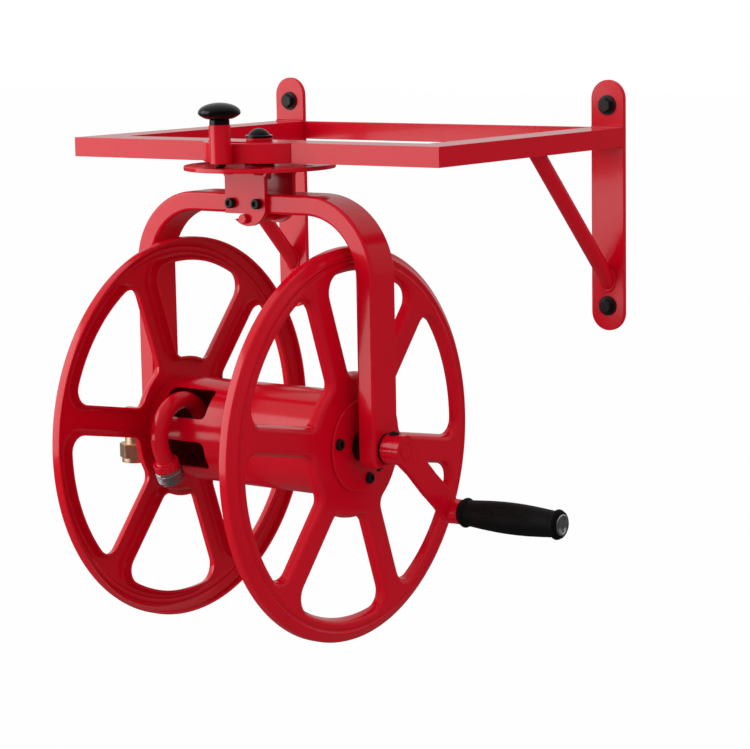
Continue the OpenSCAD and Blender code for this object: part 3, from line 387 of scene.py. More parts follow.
def off_wall(x, z, y=0.0):
    """Z points out of the wall, towards -Y."""
    return Matrix.Translation((x, y, z)) @ Matrix.Rotation(pi / 2, 4, "X")


swap_sides = Matrix.Scale(-1, 4, (1, 0, 0))
print("axle at", pivot_y, axle_z)

# %% [markdown]
# The frame is welded from rectangular steel tube with rounded edges, cut at 45 degrees where the
# tubes meet. A box is cut by two slanting planes with bisect_plane, its cut ends are filled, and
# the edges along the tube are rounded to 3 mm. The mitre keeps its own fine edge, so the joint
# reads as a thin line, as on the real corner.

# %% Front and side tubes
def mitre(bm, corner, direction):
    """Cuts away what lies on the side of a slanting plane that direction points to."""
    cut = bmesh.ops.bisect_plane(bm, geom=bm.verts[:] + bm.edges[:] + bm.faces[:],
                                 plane_co=corner, plane_no=direction, clear_outer=True)
    rim = [g for g in cut["geom_cut"] if isinstance(g, bmesh.types.BMEdge)]
    bmesh.ops.contextual_create(bm, geom=rim)


def rounded_tube(bm, axis, radius=3.0):
    along = [e for e in bm.edges if abs((e.verts[0].co - e.verts[1].co).normalized()[axis]) > 0.99]
    soften(bm, radius, 5, edges=along)
    return soften(bm, 0.35, 2, angle=30)


def front_tube():
    bm = block((-bar_outer, frame_front, frame_low), (bar_outer, frame_front + 38.1, frame_high))
    for side in (-1, 1):
        mitre(bm, (side * bar_outer, frame_front, 0), (side, 1, 0))
    return rounded_tube(bm, 0)


def side_tube(side):
    low, high = sorted((side * bar_inner, side * bar_outer))
    bm = block((low, frame_front, frame_low), (high, -5, frame_high))
    mitre(bm, (side * bar_outer, frame_front, 0), (-side, -1, 0))
    return rounded_tube(bm, 1)


keep(front_tube(), "front_tube", "frame", red_paint, ["frame_front"])
keep(side_tube(-1), "side_tube_left", "frame", red_paint, ["frame_left"])
keep(side_tube(1), "side_tube_right", "frame", red_paint, ["frame_right"])

# %% [markdown]
# The flat parts are cut from plate and bar: the two wall plates, the bar between them, the bow in
# front of the frame, the round index plate and the bracket. Their outlines are right in the CAD
# model, so each is a softened copy of its node. Only the edge radius differs from part to part.

# %% Plates and bars
def plate_from(node, name, body, width, angle=35):
    return keep(soften(from_cad(node), width, 3, angle), name, body, red_paint, [node])


plate_from("wall_plate_left", "wall_strap_left", "frame", 0.9)
plate_from("wall_plate_right", "wall_strap_right", "frame", 0.9)
plate_from("frame_back", "back_bar", "frame", 0.7)
plate_from("brace_left", "brace_tube_left", "frame", 0.3, 50)
plate_from("brace_right", "brace_tube_right", "frame", 0.3, 50)
plate_from("latch_bow", "bow_strap", "frame", 0.9)
plate_from("pivot_boss", "raised_boss", "frame", 0.8)
plate_from("index_plate", "index_disc", "swivel", 0.6)
plate_from("bracket_front", "swivel_cheek_front", "swivel", 0.7)
plate_from("bracket_rear", "swivel_cheek_rear", "swivel", 0.7)

# %% [markdown]
# Hexagon heads are forged and then chamfered, so each has six flats, a round top edge and a
# flange or washer below. A six-sided cone operator makes the prism. Where a lathe would round
# its corners, its top face is inset and lifted, and its edges are softened.

# %% Hexagon heads and their washers
def hexagon(across, low, high, chamfer=0.9):
    bm = bmesh.new()
    bmesh.ops.create_cone(bm, cap_ends=True, segments=6, radius1=across / 2 / cos(pi / 6),
                          radius2=across / 2 / cos(pi / 6), depth=high - low)
    bmesh.ops.translate(bm, vec=(0, 0, (low + high) / 2), verts=bm.verts)
    upright = [e for e in bm.edges if abs(e.verts[0].co.z - e.verts[1].co.z) > 0.1]
    soften(bm, 0.35, 2, edges=upright)
    top = [f for f in bm.faces if f.normal.z > 0.9]
    bmesh.ops.inset_region(bm, faces=top, thickness=chamfer, depth=0, use_even_offset=True)
    rim = {v for f in top for v in f.verts}
    skirt = [v for v in bm.verts if v.co.z > high - 0.01 and v not in rim]
    bmesh.ops.translate(bm, vec=(0, 0, -chamfer * 0.55), verts=skirt)
    return soften(bm, 0.25, 2, angle=20, edges=[e for e in bm.edges
                                                 if e.verts[0] in rim and e.verts[1] in rim])


def washer(outer, inner, low, high, edge=0.35):
    bm = lathe([(inner, low), (outer, low), (outer, high), (inner, high), (inner, low)], 48)
    return soften(bm, edge, 2)


def join(*parts):
    """One mesh from several."""
    whole = parts[0]
    for part in parts[1:]:
        mesh = bpy.data.meshes.new("part")
        part.to_mesh(mesh)
        whole.from_mesh(mesh)
        part.free()
        bpy.data.meshes.remove(mesh)
    return whole


def copies(make, places):
    """A mesh repeated at several places."""
    parts = []
    for place in places:
        part = make()
        bmesh.ops.transform(part, matrix=place, verts=part.verts)
        if place.determinant() < 0:
            bmesh.ops.reverse_faces(part, faces=part.faces)
        parts.append(part)
    return join(*parts)


def lag_head():
    """A hexagon head with a flange under it, and a stub of the body through the plate."""
    flange = lathe([(0, 6.6), (8.2, 6.6), (8.2, 7.5), (6.4, 8.1), (0, 8.1)], 40)
    shank = lathe([(0, 0), (3.5, 0), (3.5, 6.7), (0, 6.7)], 24)
    return join(hexagon(12.7, 7.9, 12.0, 0.9), soften(flange, 0.2, 2), shank)


wall_places = [off_wall(x, z) for x in (-bolt_x, bolt_x) for z in (-bolt_z, bolt_z)]
keep(copies(lag_head, wall_places), "wall_bolt_heads", "frame", black_steel,
     ["wall_bolts"])
keep(copies(lambda: washer(10, 4.2, 5, 6.6), wall_places), "wall_bolt_washers", "frame", black_steel,
     ["wall_washers"])

# %% [markdown]
# The pivot carries everything that swings. Above the frame sits a low dome on a thin flange, and
# below it a black spacer and the nut. The dome is an arc spun round the axis: an outline of two
# lines and an arc is all that a turned part needs.

# %% Pivot
def dome_bolt():
    seat = frame_high + 3.0
    flange = [(0, seat), (13.25, seat), (13.25, seat + 2.0), (12.6, seat + 2.5), (10.5, seat + 2.5)]
    dome = bend((0, seat + 2.5 + 6.5 - 11.73), 11.73, 26.5, 90, 12)
    return soften(lathe(flange + dome, 64), 0.3, 2, angle=50)


pivot_place = Matrix.Translation((0, pivot_y, 0))
keep(dome_bolt(), "pivot_dome", "frame", black_plastic, ["pivot_bolt"], pivot_place)
shank_low, shank_top, shank_r = 40.65, frame_high + 3.1, 6.35
shank = lathe([(0, shank_low), (shank_r, shank_low), (shank_r, shank_top), (0, shank_top)], 48)
shank = soften(shank, 0.5)
keep(shank, "pivot_shank", "frame", zinc, (), pivot_place)
keep(washer(14.5, 6.35, 57.15, frame_low, 0.4), "spacer_ring", "frame", black_plastic,
     ["pivot_spacer"], pivot_place)
nut = join(washer(12.5, 6.4, 50.65, 52.65), hexagon(19, -50.65, -42.65, 1.2))
lower = [v for v in nut.verts if v.co.z < 0]
bmesh.ops.rotate(nut, verts=lower, cent=(0, 0, 0), matrix=Matrix.Rotation(pi, 3, "X"))
keep(nut, "pivot_nut_turned", "frame", zinc, ["pivot_nut"], pivot_place)

# %% [markdown]
# The latch is a spring pin in a tube. Lifting the mushroom knob pulls the pin out of the index
# plate, so the reel can swing. The tube, its black neck and the knob are turned, and the knob's
# outline is a soft underside, a full rim and a low crown. A recess lets it drop over the neck.

# %% Latch
latch_place = Matrix.Translation((0, latch_y, 0))


def latch_guide():
    outline = [(5.2, 61.0), (10.25, 61.0), (10.25, 97.7), (7.6, 97.7), (7.6, 90.0)]
    return soften(lathe(outline, 64), 0.6, 3)


def latch_bush():
    outline = [(7.4, 89.7), (7.5, 97.7), (9.5, 97.7), (9.5, 102.0), (8.8, 102.7), (5.2, 102.7)]
    return soften(lathe(outline, 64), 0.25, 2)


def mushroom():
    low = 102.95
    under = [(0, low + 4), (9.8, low + 4), (9.8, low), (11.3, low)]
    under += [(13.0, low + 0.4), (15.6, low + 1.5), (17.9, low + 2.9)]
    rim = [(19.3, low + 4.0), (20.0, low + 5.2), (20.15, low + 6.0)]
    crown = [(20.15 * cos(t), low + 6.0 + 9.4 * sin(t)) for t in (radians(7.5 * i) for i in range(1, 13))]
    return lathe(under + rim + crown, 80)


def lock_pin():
    outline = [(0, 57.2), (3.5, 57.2), (5, 58.7), (5, 65.9), (7, 65.9), (7, 68.4), (5, 68.4),
               (5, 112.6), (0, 112.6)]
    return soften(lathe(outline, 40), 0.25, 2)


keep(latch_guide(), "latch_guide_tube", "frame", red_paint, ["latch_tube"], latch_place)
keep(latch_bush(), "latch_bush", "frame", black_plastic, ["latch_neck"], latch_place)
keep(mushroom(), "mushroom_knob", "latch", black_plastic, ["latch_knob"], latch_place)
keep(lock_pin(), "lock_pin", "latch", black_steel, ["latch_pin"], latch_place)

# %% [markdown]
# The yoke is one square-cornered tube, bent twice into an arch. Half of it is made: one face is
# extruded along the top, spun through 90 degrees for the bend and extruded down the leg. The
# leg's end is rounded to 9 mm, then every long edge to 3 mm, and mirror makes the other half.

# %% Yoke
def last_face(made):
    return [g for g in made if isinstance(g, bmesh.types.BMFace)]


def yoke_half():
    top, thick, half_w, outer, leg = 30.25, 19.05, 19.05, 144.5, 76.0
    straight = outer - leg
    bm = block((0, -half_w, top - thick), (straight, half_w, top))
    bm.faces.ensure_lookup_table()
    ends = [f for f in bm.faces if abs(f.normal.x) > 0.9]
    for face in ends:
        if face.normal.x < 0:
            bmesh.ops.delete(bm, geom=[face], context="FACES_ONLY")
    end = [f for f in bm.faces if f.normal.x > 0.9]
    turned = bmesh.ops.spin(bm, geom=end, cent=(straight, 0, top - leg), axis=(0, 1, 0),
                            angle=pi / 2, steps=28)
    last = last_face(turned["geom_last"])
    bmesh.ops.delete(bm, geom=end, context="FACES_ONLY")
    leg_made = bmesh.ops.extrude_face_region(bm, geom=last)
    foot = [g for g in leg_made["geom"] if isinstance(g, bmesh.types.BMVert)]
    bmesh.ops.delete(bm, geom=last, context="FACES_ONLY")
    bmesh.ops.translate(bm, vec=(0, 0, -224.25 - (top - leg)), verts=foot)
    ends = [e for e in bm.edges if e.verts[0] in foot and e.verts[1] in foot
            and abs(e.verts[0].co.y - e.verts[1].co.y) < 0.01]
    bmesh.ops.recalc_face_normals(bm, faces=bm.faces)
    soften(bm, 9.0, 8, edges=ends)
    soften(bm, 3.0, 5, angle=50)
    return bm


def yoke_arch():
    bm = yoke_half()
    bmesh.ops.mirror(bm, geom=bm.verts[:] + bm.edges[:] + bm.faces[:], axis="X", merge_dist=0.01)
    bmesh.ops.recalc_face_normals(bm, faces=bm.faces)
    return bm


keep(yoke_arch(), "yoke_arch", "swivel", red_paint, ["yoke"], pivot_place)

# %% [markdown]
# Two socket screws hold the bracket's cheeks on the yoke. A screw head like this is a low
# cylinder with a rounded rim and a six-sided hole: the round top is made by the lathe, and the
# hole is a smaller six-sided cup set into the head's middle.

# %% Screws with a socket
def socket_head(radius, height, socket, crown=1.0):
    """A round head along Z from zero, with a hexagonal hole in its top."""
    rim = bend((radius - crown, height - crown), crown, 0, 90, 4)
    bm = lathe([(0, 0), (radius, 0)] + rim + [(socket * 1.12, height), (socket, height - 0.15)], 48)
    cup = bmesh.new()
    bmesh.ops.create_cone(cup, cap_ends=True, segments=6, radius1=socket, radius2=socket * 1.1,
                          depth=height * 0.36)
    bmesh.ops.translate(cup, vec=(0, 0, height - 0.15 - height * 0.18), verts=cup.verts)
    lid = [f for f in cup.faces if f.normal.z > 0.9]
    bmesh.ops.delete(cup, geom=lid, context="FACES_ONLY")
    bmesh.ops.reverse_faces(cup, faces=cup.faces)
    return join(bm, cup)


def bracket_screw():
    head = socket_head(5.0, 5.6, 2.6, 1.1)
    shank = lathe([(0, 0.1), (3.17, 0.1), (3.17, -57.2), (0, -57.2)], 24)
    return join(head, shank)


screw_places = [off_wall(x, 21.225, frame_front - 5) for x in (-15.9, 15.9)]
keep(copies(bracket_screw, screw_places), "bracket_screws", "swivel", black_steel,
     ["bracket_bolts"])
nut_places = [off_wall(x, 21.225, -287.1) @ Matrix.Rotation(pi, 4, "X") for x in (-15.9, 15.9)]
keep(copies(lambda: hexagon(11, 0, 6, 0.8), nut_places), "bracket_hex_nuts", "swivel", black_steel,
     ["bracket_nuts"])
hook = soften(lathe([(0, 0), (4.75, 0), (4.75, 58.1), (0, 58.1)], 40), 0.9, 3)
keep(hook, "hook_bar", "swivel", red_paint, ["hook_pin"], off_wall(0, 6.45, -282.1))

# %% [markdown]
# Each disc is pressed from one sheet of steel. The press raises a flat face, punches six windows
# and turns their edges in, which makes the spokes stiff. To model it, a chain of vertices is spun
# round each corner's centre to draw half a window, mirror closes it, and spin repeats it six
# times. triangle_fill makes the flat face between the windows, and inset_region then walks each
# window's edge round the pressed shoulder and down the slope, ring by ring.

# %% The outline of a window
def spun(bm, vert, centre, angle, steps):
    """Draws an arc by spinning a vertex, and returns its last vertex."""
    made = bmesh.ops.spin(bm, geom=[vert], cent=(centre[0], centre[1], 0), axis=(0, 0, 1),
                          angle=angle, steps=steps)
    return [g for g in made["geom_last"] if isinstance(g, bmesh.types.BMVert)][0]


def window_outline(bm, half_spoke=7.5, near=63.0, far=172.5, near_r=17.0, far_r=22.0):
    """Half of a window about +X, from the middle of its inner edge to the middle of its outer one."""
    tilt = -pi / 6

    def corner(radius, reach):
        v = half_spoke + radius
        u = math.sqrt(reach * reach - v * v)
        place = Vector((u * cos(tilt) - v * sin(tilt), u * sin(tilt) + v * cos(tilt)))
        return place, math.atan2(place.y, place.x)

    near_c, near_turn = corner(near_r, near + near_r)
    far_c, far_turn = corner(far_r, far - far_r)
    start = bm.verts.new((near, 0, 0))
    at = spun(bm, start, (0, 0), near_turn, 4)
    at = spun(bm, at, near_c, (tilt + 3 * pi / 2) - (near_turn + pi), 9)
    side = bm.verts.new((far_c.x + far_r * cos(tilt - pi / 2), far_c.y + far_r * sin(tilt - pi / 2), 0))
    bm.edges.new((at, side))
    at = spun(bm, side, far_c, far_turn - (tilt - pi / 2), 10)
    spun(bm, at, (0, 0), -far_turn, 8)


def windows():
    bm = bmesh.new()
    window_outline(bm)
    bmesh.ops.mirror(bm, geom=bm.verts[:] + bm.edges[:], axis="Y", merge_dist=0.01)
    bmesh.ops.remove_doubles(bm, verts=bm.verts, dist=0.01)
    bmesh.ops.contextual_create(bm, geom=bm.edges[:])
    bmesh.ops.rotate(bm, verts=bm.verts, cent=(0, 0, 0), matrix=Matrix.Rotation(pi / 6, 3, "Z"))
    bmesh.ops.spin(bm, geom=bm.verts[:] + bm.edges[:] + bm.faces[:], cent=(0, 0, 0), axis=(0, 0, 1),
                   angle=radians(300), steps=5, use_duplicate=True)
    return bm


outline_test = windows()
print("window faces:", len(outline_test.faces), "corners each:",
      sorted({len(f.verts) for f in outline_test.faces}))
outline_test.free()

# %% [markdown]
# The rim continues from the flat face: a narrow groove, a bead, and the edge rolled over. Each
# ring is the one before it, extruded, scaled about the axle and lowered. The sheet itself has no
# thickness yet: Solidify gives it 2.2 mm afterwards, so both sides of the pressing match.

# %% The pressed disc
def draw_out(bm, loop, radius, rings):
    """Extrudes a round edge loop through rings given as (radius, height)."""
    height = 0.0
    for new_radius, new_height in rings:
        made = bmesh.ops.extrude_edge_only(bm, edges=loop)["geom"]
        verts = [g for g in made if isinstance(g, bmesh.types.BMVert)]
        loop = [g for g in made if isinstance(g, bmesh.types.BMEdge)
                and all(v in verts for v in g.verts)]
        factor = new_radius / radius
        bmesh.ops.scale(bm, vec=(factor, factor, 1), verts=verts)
        bmesh.ops.translate(bm, vec=(0, 0, new_height - height), verts=verts)
        radius, height = new_radius, new_height


def pressed_disc():
    bm = windows()
    holes = bm.faces[:]
    plateau = 173.5
    bmesh.ops.create_circle(bm, segments=180, radius=plateau)
    bmesh.ops.create_circle(bm, segments=48, radius=14.0)
    edges = bm.edges[:]
    bmesh.ops.triangle_fill(bm, use_beauty=True, edges=edges)
    bmesh.ops.recalc_face_normals(bm, faces=bm.faces)
    if holes[0].normal.z < 0:
        bmesh.ops.reverse_faces(bm, faces=bm.faces)
    slope, shoulder, steps = radians(45), 6.0, 6
    for i in range(steps):
        here, there = slope * i / steps, slope * (i + 1) / steps
        bmesh.ops.inset_region(bm, faces=holes, thickness=shoulder * (sin(there) - sin(here)),
                               depth=-shoulder * (cos(here) - cos(there)), use_even_offset=True)
    bmesh.ops.inset_region(bm, faces=holes, thickness=2.2, depth=-4.0, use_even_offset=True)
    bmesh.ops.inset_region(bm, faces=holes, thickness=0.6, depth=-4.2, use_even_offset=True)
    bmesh.ops.delete(bm, geom=holes, context="FACES_ONLY")
    rim = [e for e in bm.edges if e.is_boundary and e.verts[0].co.length > plateau - 0.5]
    draw_out(bm, rim, plateau, [(174.6, -0.25), (175.4, -1.1), (176.2, -1.8), (177.0, -2.0), (177.8, -1.8),
                              (178.6, -1.1), (179.6, -0.5), (180.8, -0.6), (182.2, -1.6), (183.8, -3.0),
                              (185.6, -4.3), (187.2, -4.9), (188.5, -5.9), (189.0, -7.4), (189.0, -13.8),
                              (188.5, -15.0)])
    return bm


def disc_piece(side, name, node):
    at = on_axle(disc_x, spoke_turn)
    if side < 0:
        at = swap_sides @ at
    piece = keep(pressed_disc(), name, "reel", red_paint, [node], at, 60)
    wall = piece.modifiers.new("sheet", "SOLIDIFY")
    wall.thickness = 0.0022
    wall.offset = -1
    wall.use_even_offset = True
    edge = piece.modifiers.new("cut_edges", "BEVEL")
    edge.width = 0.0004
    edge.segments = 2
    edge.limit_method = "ANGLE"
    edge.angle_limit = radians(60)
    piece.modifiers.move(0, 2)
    return piece


disc_piece(1, "pressed_disc_right", "disc_right")
disc_piece(-1, "pressed_disc_left", "disc_left")

# %% [markdown]
# The drum is a thin tube with two windows for the outlet. The CAD copy has the right shape, but
# where a window cuts the tube its triangles are long and thin, and smooth shading shows them as
# bands. The cure is to give each corner of the outer and inner wall its true direction, straight
# away from the axle, as custom normals.

# %% Drum
def true_normals(piece, centre, axis=0):
    """Points every corner of a round wall straight away from its axis."""
    mesh = piece.data
    normals = []
    for face in mesh.polygons:
        for index in face.loop_indices:
            away = mesh.vertices[mesh.loops[index].vertex_index].co - centre
            away[axis] = 0
            away.normalize()
            lean = away.dot(face.normal)
            normals.append(away if lean > 0.985 else -away if lean < -0.985 else face.normal.copy())
    mesh.normals_split_custom_set(normals)


drum = keep(soften(from_cad("drum"), 0.35, 1, 50), "drum_tube", "reel", red_paint, ["drum"])
drum.modifiers.clear()
true_normals(drum, Vector((0, pivot_y, axle_z)) / 1000)

# %% [markdown]
# Round covers close the discs' middles, each held by three button screws. A cover is a lathe
# outline with a shallow dish, and the screws repeat at 120 degrees, each in line with a spoke.

# %% Hub covers and their screws
def cover():
    outline = [(9.6, 0), (44, 0), (44, 2.2), (43.2, 3.0), (24, 3.0), (22.5, 2.6), (9.6, 2.6)]
    return soften(lathe(outline, 96), 0.3, 2)


cover_place = on_axle(disc_x, spoke_turn)
keep(cover(), "cover_right", "reel", red_paint, ["hub_cover_right"], cover_place)
keep(cover(), "cover_left", "reel", red_paint, ["hub_cover_left"], swap_sides @ cover_place)

hub_places = [on_axle(disc_x + 3, spoke_turn + radians(60 + 120 * i)) @ Matrix.Translation((35, 0, 0))
              for i in range(3)]
hub_places += [swap_sides @ place for place in hub_places]
keep(copies(lambda: socket_head(5.7, 3.6, 2.2, 2.2), hub_places), "hub_buttons", "reel", black_steel,
     ["hub_screws"])

# %% [markdown]
# The gooseneck brings the water out of the drum to the hose. A circle is spun round the bend's
# centre and ends in a collar. The hose thread is a single V-shaped tooth, spun five times round
# while it climbs by its own pitch, so each turn starts where the last one ended.

# %% Gooseneck and hose thread
neck_centre = Matrix(((0, 0, 1, -75), (1, 0, 0, pivot_y - 39), (0, 1, 0, axle_z + 0.5), (0, 0, 0, 1)))
neck_turn = radians(205)
neck_end = (neck_centre @ Matrix.Rotation(neck_turn, 4, "Z") @ Matrix.Translation((33, 0, 0))
            @ Matrix.Rotation(-pi / 2, 4, "X"))


def gooseneck():
    bm = bmesh.new()
    made = bmesh.ops.create_circle(bm, segments=40, radius=8.5)
    bmesh.ops.rotate(bm, verts=made["verts"], cent=(0, 0, 0), matrix=Matrix.Rotation(pi / 2, 3, "X"))
    bmesh.ops.translate(bm, vec=(33, 0, 0), verts=made["verts"])
    bmesh.ops.spin(bm, geom=bm.verts[:] + bm.edges[:], cent=(0, 0, 0), axis=(0, 0, 1),
                   angle=neck_turn, steps=72)
    bmesh.ops.recalc_face_normals(bm, faces=bm.faces)
    return bm


def neck_collar():
    outline = [(8.5, -0.5), (8.5, 9.6), (9.1, 10.6), (10.4, 11.0), (12.8, 11.0), (12.8, 19.0),
               (6.7, 19.0), (6.7, 8.0)]
    return soften(lathe(outline, 64), 0.7, 3, 40)


def thread(root, crest, pitch, turns, steps=36):
    """A screw thread along Z from zero."""
    bm = bmesh.new()
    tooth = chain(bm, [(root, 0), (root + 0.08, 0.18 * pitch), (crest, 0.42 * pitch),
                       (crest, 0.58 * pitch), (root + 0.08, 0.82 * pitch), (root, pitch)])
    bmesh.ops.spin(bm, geom=tooth, cent=(0, 0, 0), axis=(0, 0, 1), dvec=(0, 0, pitch / steps),
                   angle=2 * pi * turns, steps=steps * turns)
    bmesh.ops.remove_doubles(bm, verts=bm.verts, dist=0.01)
    bmesh.ops.recalc_face_normals(bm, faces=bm.faces)
    return bm


def hose_nipple():
    core = lathe([(6.7, 0), (12.4, 0), (12.4, 13.2), (11.9, 14.2), (7.5, 14.5), (6.7, 14.1),
                  (6.7, 0)], 64)
    ridge = thread(12.2, 13.5, 2.2, 5)
    bmesh.ops.translate(ridge, vec=(0, 0, 0.6), verts=ridge.verts)
    return join(soften(core, 0.3, 2), ridge)


keep(gooseneck(), "gooseneck", "reel", red_paint, ["outlet_pipe"], neck_centre)
keep(neck_collar(), "gooseneck_collar", "reel", red_paint, ["outlet_collar"], neck_end)
keep(hose_nipple(), "hose_nipple", "reel", zinc, ["outlet_thread"],
     neck_end @ Matrix.Translation((0, 0, 19)))

# %% [markdown]
# Water comes in on the left through a brass elbow with a swivel nut, so a supply hose can be
# screwed on without twisting it. The elbow is a turned body with a tail, and the nut is a
# chamfered hexagon over a round collar, with a plain bore where its thread would be.

# %% Brass inlet
inlet_x, nut_top, nut_low = -171.0, -229.55, -249.05


def elbow_body():
    outline = [(0, 0), (9.5, 0), (11.8, 1.2), (13, 3.6), (13, 35.5), (12.3, 37), (12.3, 39.5), (9.6, 39.5)]
    return soften(lathe(outline, 64), 0.6, 3, 30)


def elbow_tail():
    outline = [(10.5, -2), (10.5, nut_top - axle_z - 4), (12, nut_top - axle_z - 4),
               (12, nut_top - axle_z - 6.5), (8, nut_top - axle_z - 6.5), (8, -2)]
    return soften(lathe(outline, 48), 0.3, 2)


def swivel_nut():
    hexed = hexagon(28.6, nut_low + 4.8, nut_top, 1.6)
    lids = [f for f in hexed.faces if abs(f.normal.z) > 0.95 and len(f.verts) > 5]
    bmesh.ops.delete(hexed, geom=lids, context="FACES_ONLY")
    top_ring = lathe([(10.6, nut_top - 0.1), (12.9, nut_top - 0.1)], 48)
    collar = lathe([(13.0, nut_low), (14.1, nut_low), (14.1, nut_low + 5.6), (13.4, nut_low + 5.6)], 64)
    inside = lathe([(13.0, nut_low), (13.0, nut_low + 10.25), (12.6, nut_low + 10.25),
                    (12.6, nut_low + 15.75), (10.6, nut_low + 15.75), (10.6, nut_top - 0.1)], 48)
    bmesh.ops.reverse_faces(inside, faces=inside.faces)
    return join(hexed, top_ring, soften(collar, 0.4, 2), inside)


keep(elbow_body(), "elbow_body", "swivel", brass, ["inlet_elbow"],
     on_axle(-184.0))
keep(elbow_tail(), "elbow_tail", "swivel", brass, (), Matrix.Translation((inlet_x, pivot_y, axle_z)))
keep(swivel_nut(), "swivel_nut", "hose_nut", brass, ["inlet_nut"],
     Matrix.Translation((inlet_x, pivot_y, 0)))

# %% [markdown]
# The crank turns the reel. Its sleeve slips over the axle and a flat arm is welded on the end.
# The arm's outline and its bend are right in the CAD copy, which only needs soft edges. The
# axle's end shows as a disc with a fine groove round it.

# %% Crank
def crank_sleeve():
    return soften(lathe([(9.6, 146.75), (14.3, 146.75), (14.3, 161.25), (9.6, 161.25)], 64), 0.5, 2)


keep(crank_sleeve(), "sleeve", "reel", red_paint, ["crank_sleeve"], on_axle())
keep(washer(14.75, 9.6, 144.75, 146.75, 0.5), "crank_washer", "reel", black_plastic,
     ["crank_ring"], on_axle())
keep(soften(from_cad("crank_arm"), 1.1, 3, 40), "arm", "reel", red_paint, ["crank_arm"])
end_disc = lathe([(0, 160), (9.6, 160), (9.6, 167.3), (9.2, 167.7), (8.1, 167.7), (7.9, 167.3),
                  (7.5, 167.3), (7.3, 167.7), (0, 167.7)], 64)
keep(end_disc, "axle_end", "reel", red_paint, (), on_axle())
keep(socket_head(4.5, 2.6, 2.2, 0.8), "sleeve_screw", "reel", black_steel,
     ["crank_screw"], Matrix.Translation((154.0, pivot_y, axle_z + 14.1)))

# %% [markdown]
# The grip is moulded rubber: a slightly swollen body between two rings, free to turn on its pin,
# with a bright cap set in its end. Its outline is spun like the rest, and then every vertex of
# the body is pulled in a little at four places round, which gives the scalloped flats that a
# hand feels.

# %% Grip
crank_turn, crank_reach = radians(-43.8), 101.6
grip_start, grip_long = 180.55, 112.0
grip_place = on_axle(0, crank_turn) @ Matrix.Translation((crank_reach, 0, grip_start))


def grip_body():
    neck, swelling, ring_z, body_z, flat_z = 12.5, 2.75, 4.6, 8.2, 10
    ring = lambda z: bend((12.0, z), 2.5, -80, 80, 8)
    body = [(neck + swelling * sin(pi * i / 24), body_z + (grip_long - 2 * body_z) * i / 24)
            for i in range(1, 24)]
    outline = [(5.2, 0.2), (11.2, 0.2), (12.7, 0.9)] + ring(ring_z) + body + ring(grip_long - ring_z)
    outline += [(r, grip_long - below) for r, below in
                ((12.9, 1.0), (12.0, 0.2), (10.8, 0.2), (10.5, 0.8), (10.5, 8.0))]
    bm = lathe(outline, 96)
    for vert in bm.verts:
        along, turn = vert.co.z, math.atan2(vert.co.y, vert.co.x)
        reach = math.hypot(vert.co.x, vert.co.y)
        if flat_z < along < grip_long - flat_z and reach > 11:
            swell = sin(pi * (along - flat_z) / (grip_long - 2 * flat_z)) ** 2
            pull = 1 - 0.075 * swell * (0.5 + 0.5 * cos(4 * turn)) ** 2
            vert.co.x *= pull
            vert.co.y *= pull
    return bm


def end_cap():
    outline = [(10.5, -8.0), (10.5, 0.2), (9.9, 1.2), (8.9, 1.5), (8.0, 1.1), (7.5, 0.2),
               (6.9, -1.2), (4.5, -2.1), (0, -2.4)]
    return lathe([(r, grip_long + z) for r, z in outline], 64)


keep(grip_body(), "rubber_grip", "handle", black_rubber, ["grip"], grip_place)
keep(end_cap(), "end_cap", "handle", chrome, ["grip_cap"], grip_place)

# %% [markdown]
# Small turned parts finish the yoke: the bushes that the axle turns in and the grease fitting
# under the right leg, a hexagon with a little ball on a neck.

# %% Bushes and grease fitting
def leg_bush():
    outline = [(9.6, 115.3), (14.75, 115.3), (14.75, 125.45), (12, 125.45), (12, 144.4), (9.6, 144.4)]
    return soften(lathe(outline, 64), 0.4, 2)


def grease_nipple():
    six = hexagon(8, -2.0, 0, 0.3)
    ball = lathe([(0, -5.2), (1.3, -5.0), (2.0, -4.3), (2.1, -3.6), (1.5, -3.1), (1.5, -2.6), (2.6, -1.9),
                  (2.6, 0)], 32)
    return join(six, ball)


keep(leg_bush(), "leg_bush_right", "swivel", black_plastic, ["bush_right"], on_axle())
keep(leg_bush(), "leg_bush_left", "swivel", black_plastic, ["bush_left"],
     swap_sides @ on_axle())
keep(grease_nipple(), "grease_nipple", "swivel", black_steel, ["grease_fitting"],
     Matrix.Translation((134.975, pivot_y, -224.25)))

# %% [markdown]
# Welds hold the frame together, and paint doesn't hide them: a bead is a row of small overlapping
# scales. A ring of eight vertices is extruded along a path in short steps, and its size swings a
# little with every scale.

# %% Weld beads
def bead(path, radius, scale=2.6, closed=False):
    """A rippled bead along points in millimetres."""
    points = [Vector(p) for p in path]
    if closed:
        points.append(points[0])
    walk = []
    for a, b in zip(points, points[1:]):
        count = max(1, round((b - a).length / (scale / 4)))
        walk += [(a.lerp(b, i / count), (b - a).normalized()) for i in range(count)]
    walk.append((points[-1], (points[-1] - points[-2]).normalized()))
    bm = bmesh.new()
    edges = None
    for i, (place, along) in enumerate(walk):
        size = radius * (1 + 0.10 * cos(2 * pi * i / 4) + 0.05 * sin(1.7 * i))
        if i in (0, len(walk) - 1) and not closed:
            size *= 0.45
        turn = along.to_track_quat("Z", "Y").to_matrix().to_4x4()
        made = bmesh.ops.create_circle(bm, segments=8, radius=size)["verts"]
        bmesh.ops.transform(bm, matrix=Matrix.Translation(place) @ turn, verts=made)
        fresh = list({e for v in made for e in v.link_edges})
        if edges:
            bmesh.ops.bridge_loops(bm, edges=edges + fresh)
        edges = fresh
    bmesh.ops.holes_fill(bm, edges=[e for e in bm.edges if e.is_boundary], sides=8)
    bmesh.ops.recalc_face_normals(bm, faces=bm.faces)
    return bm


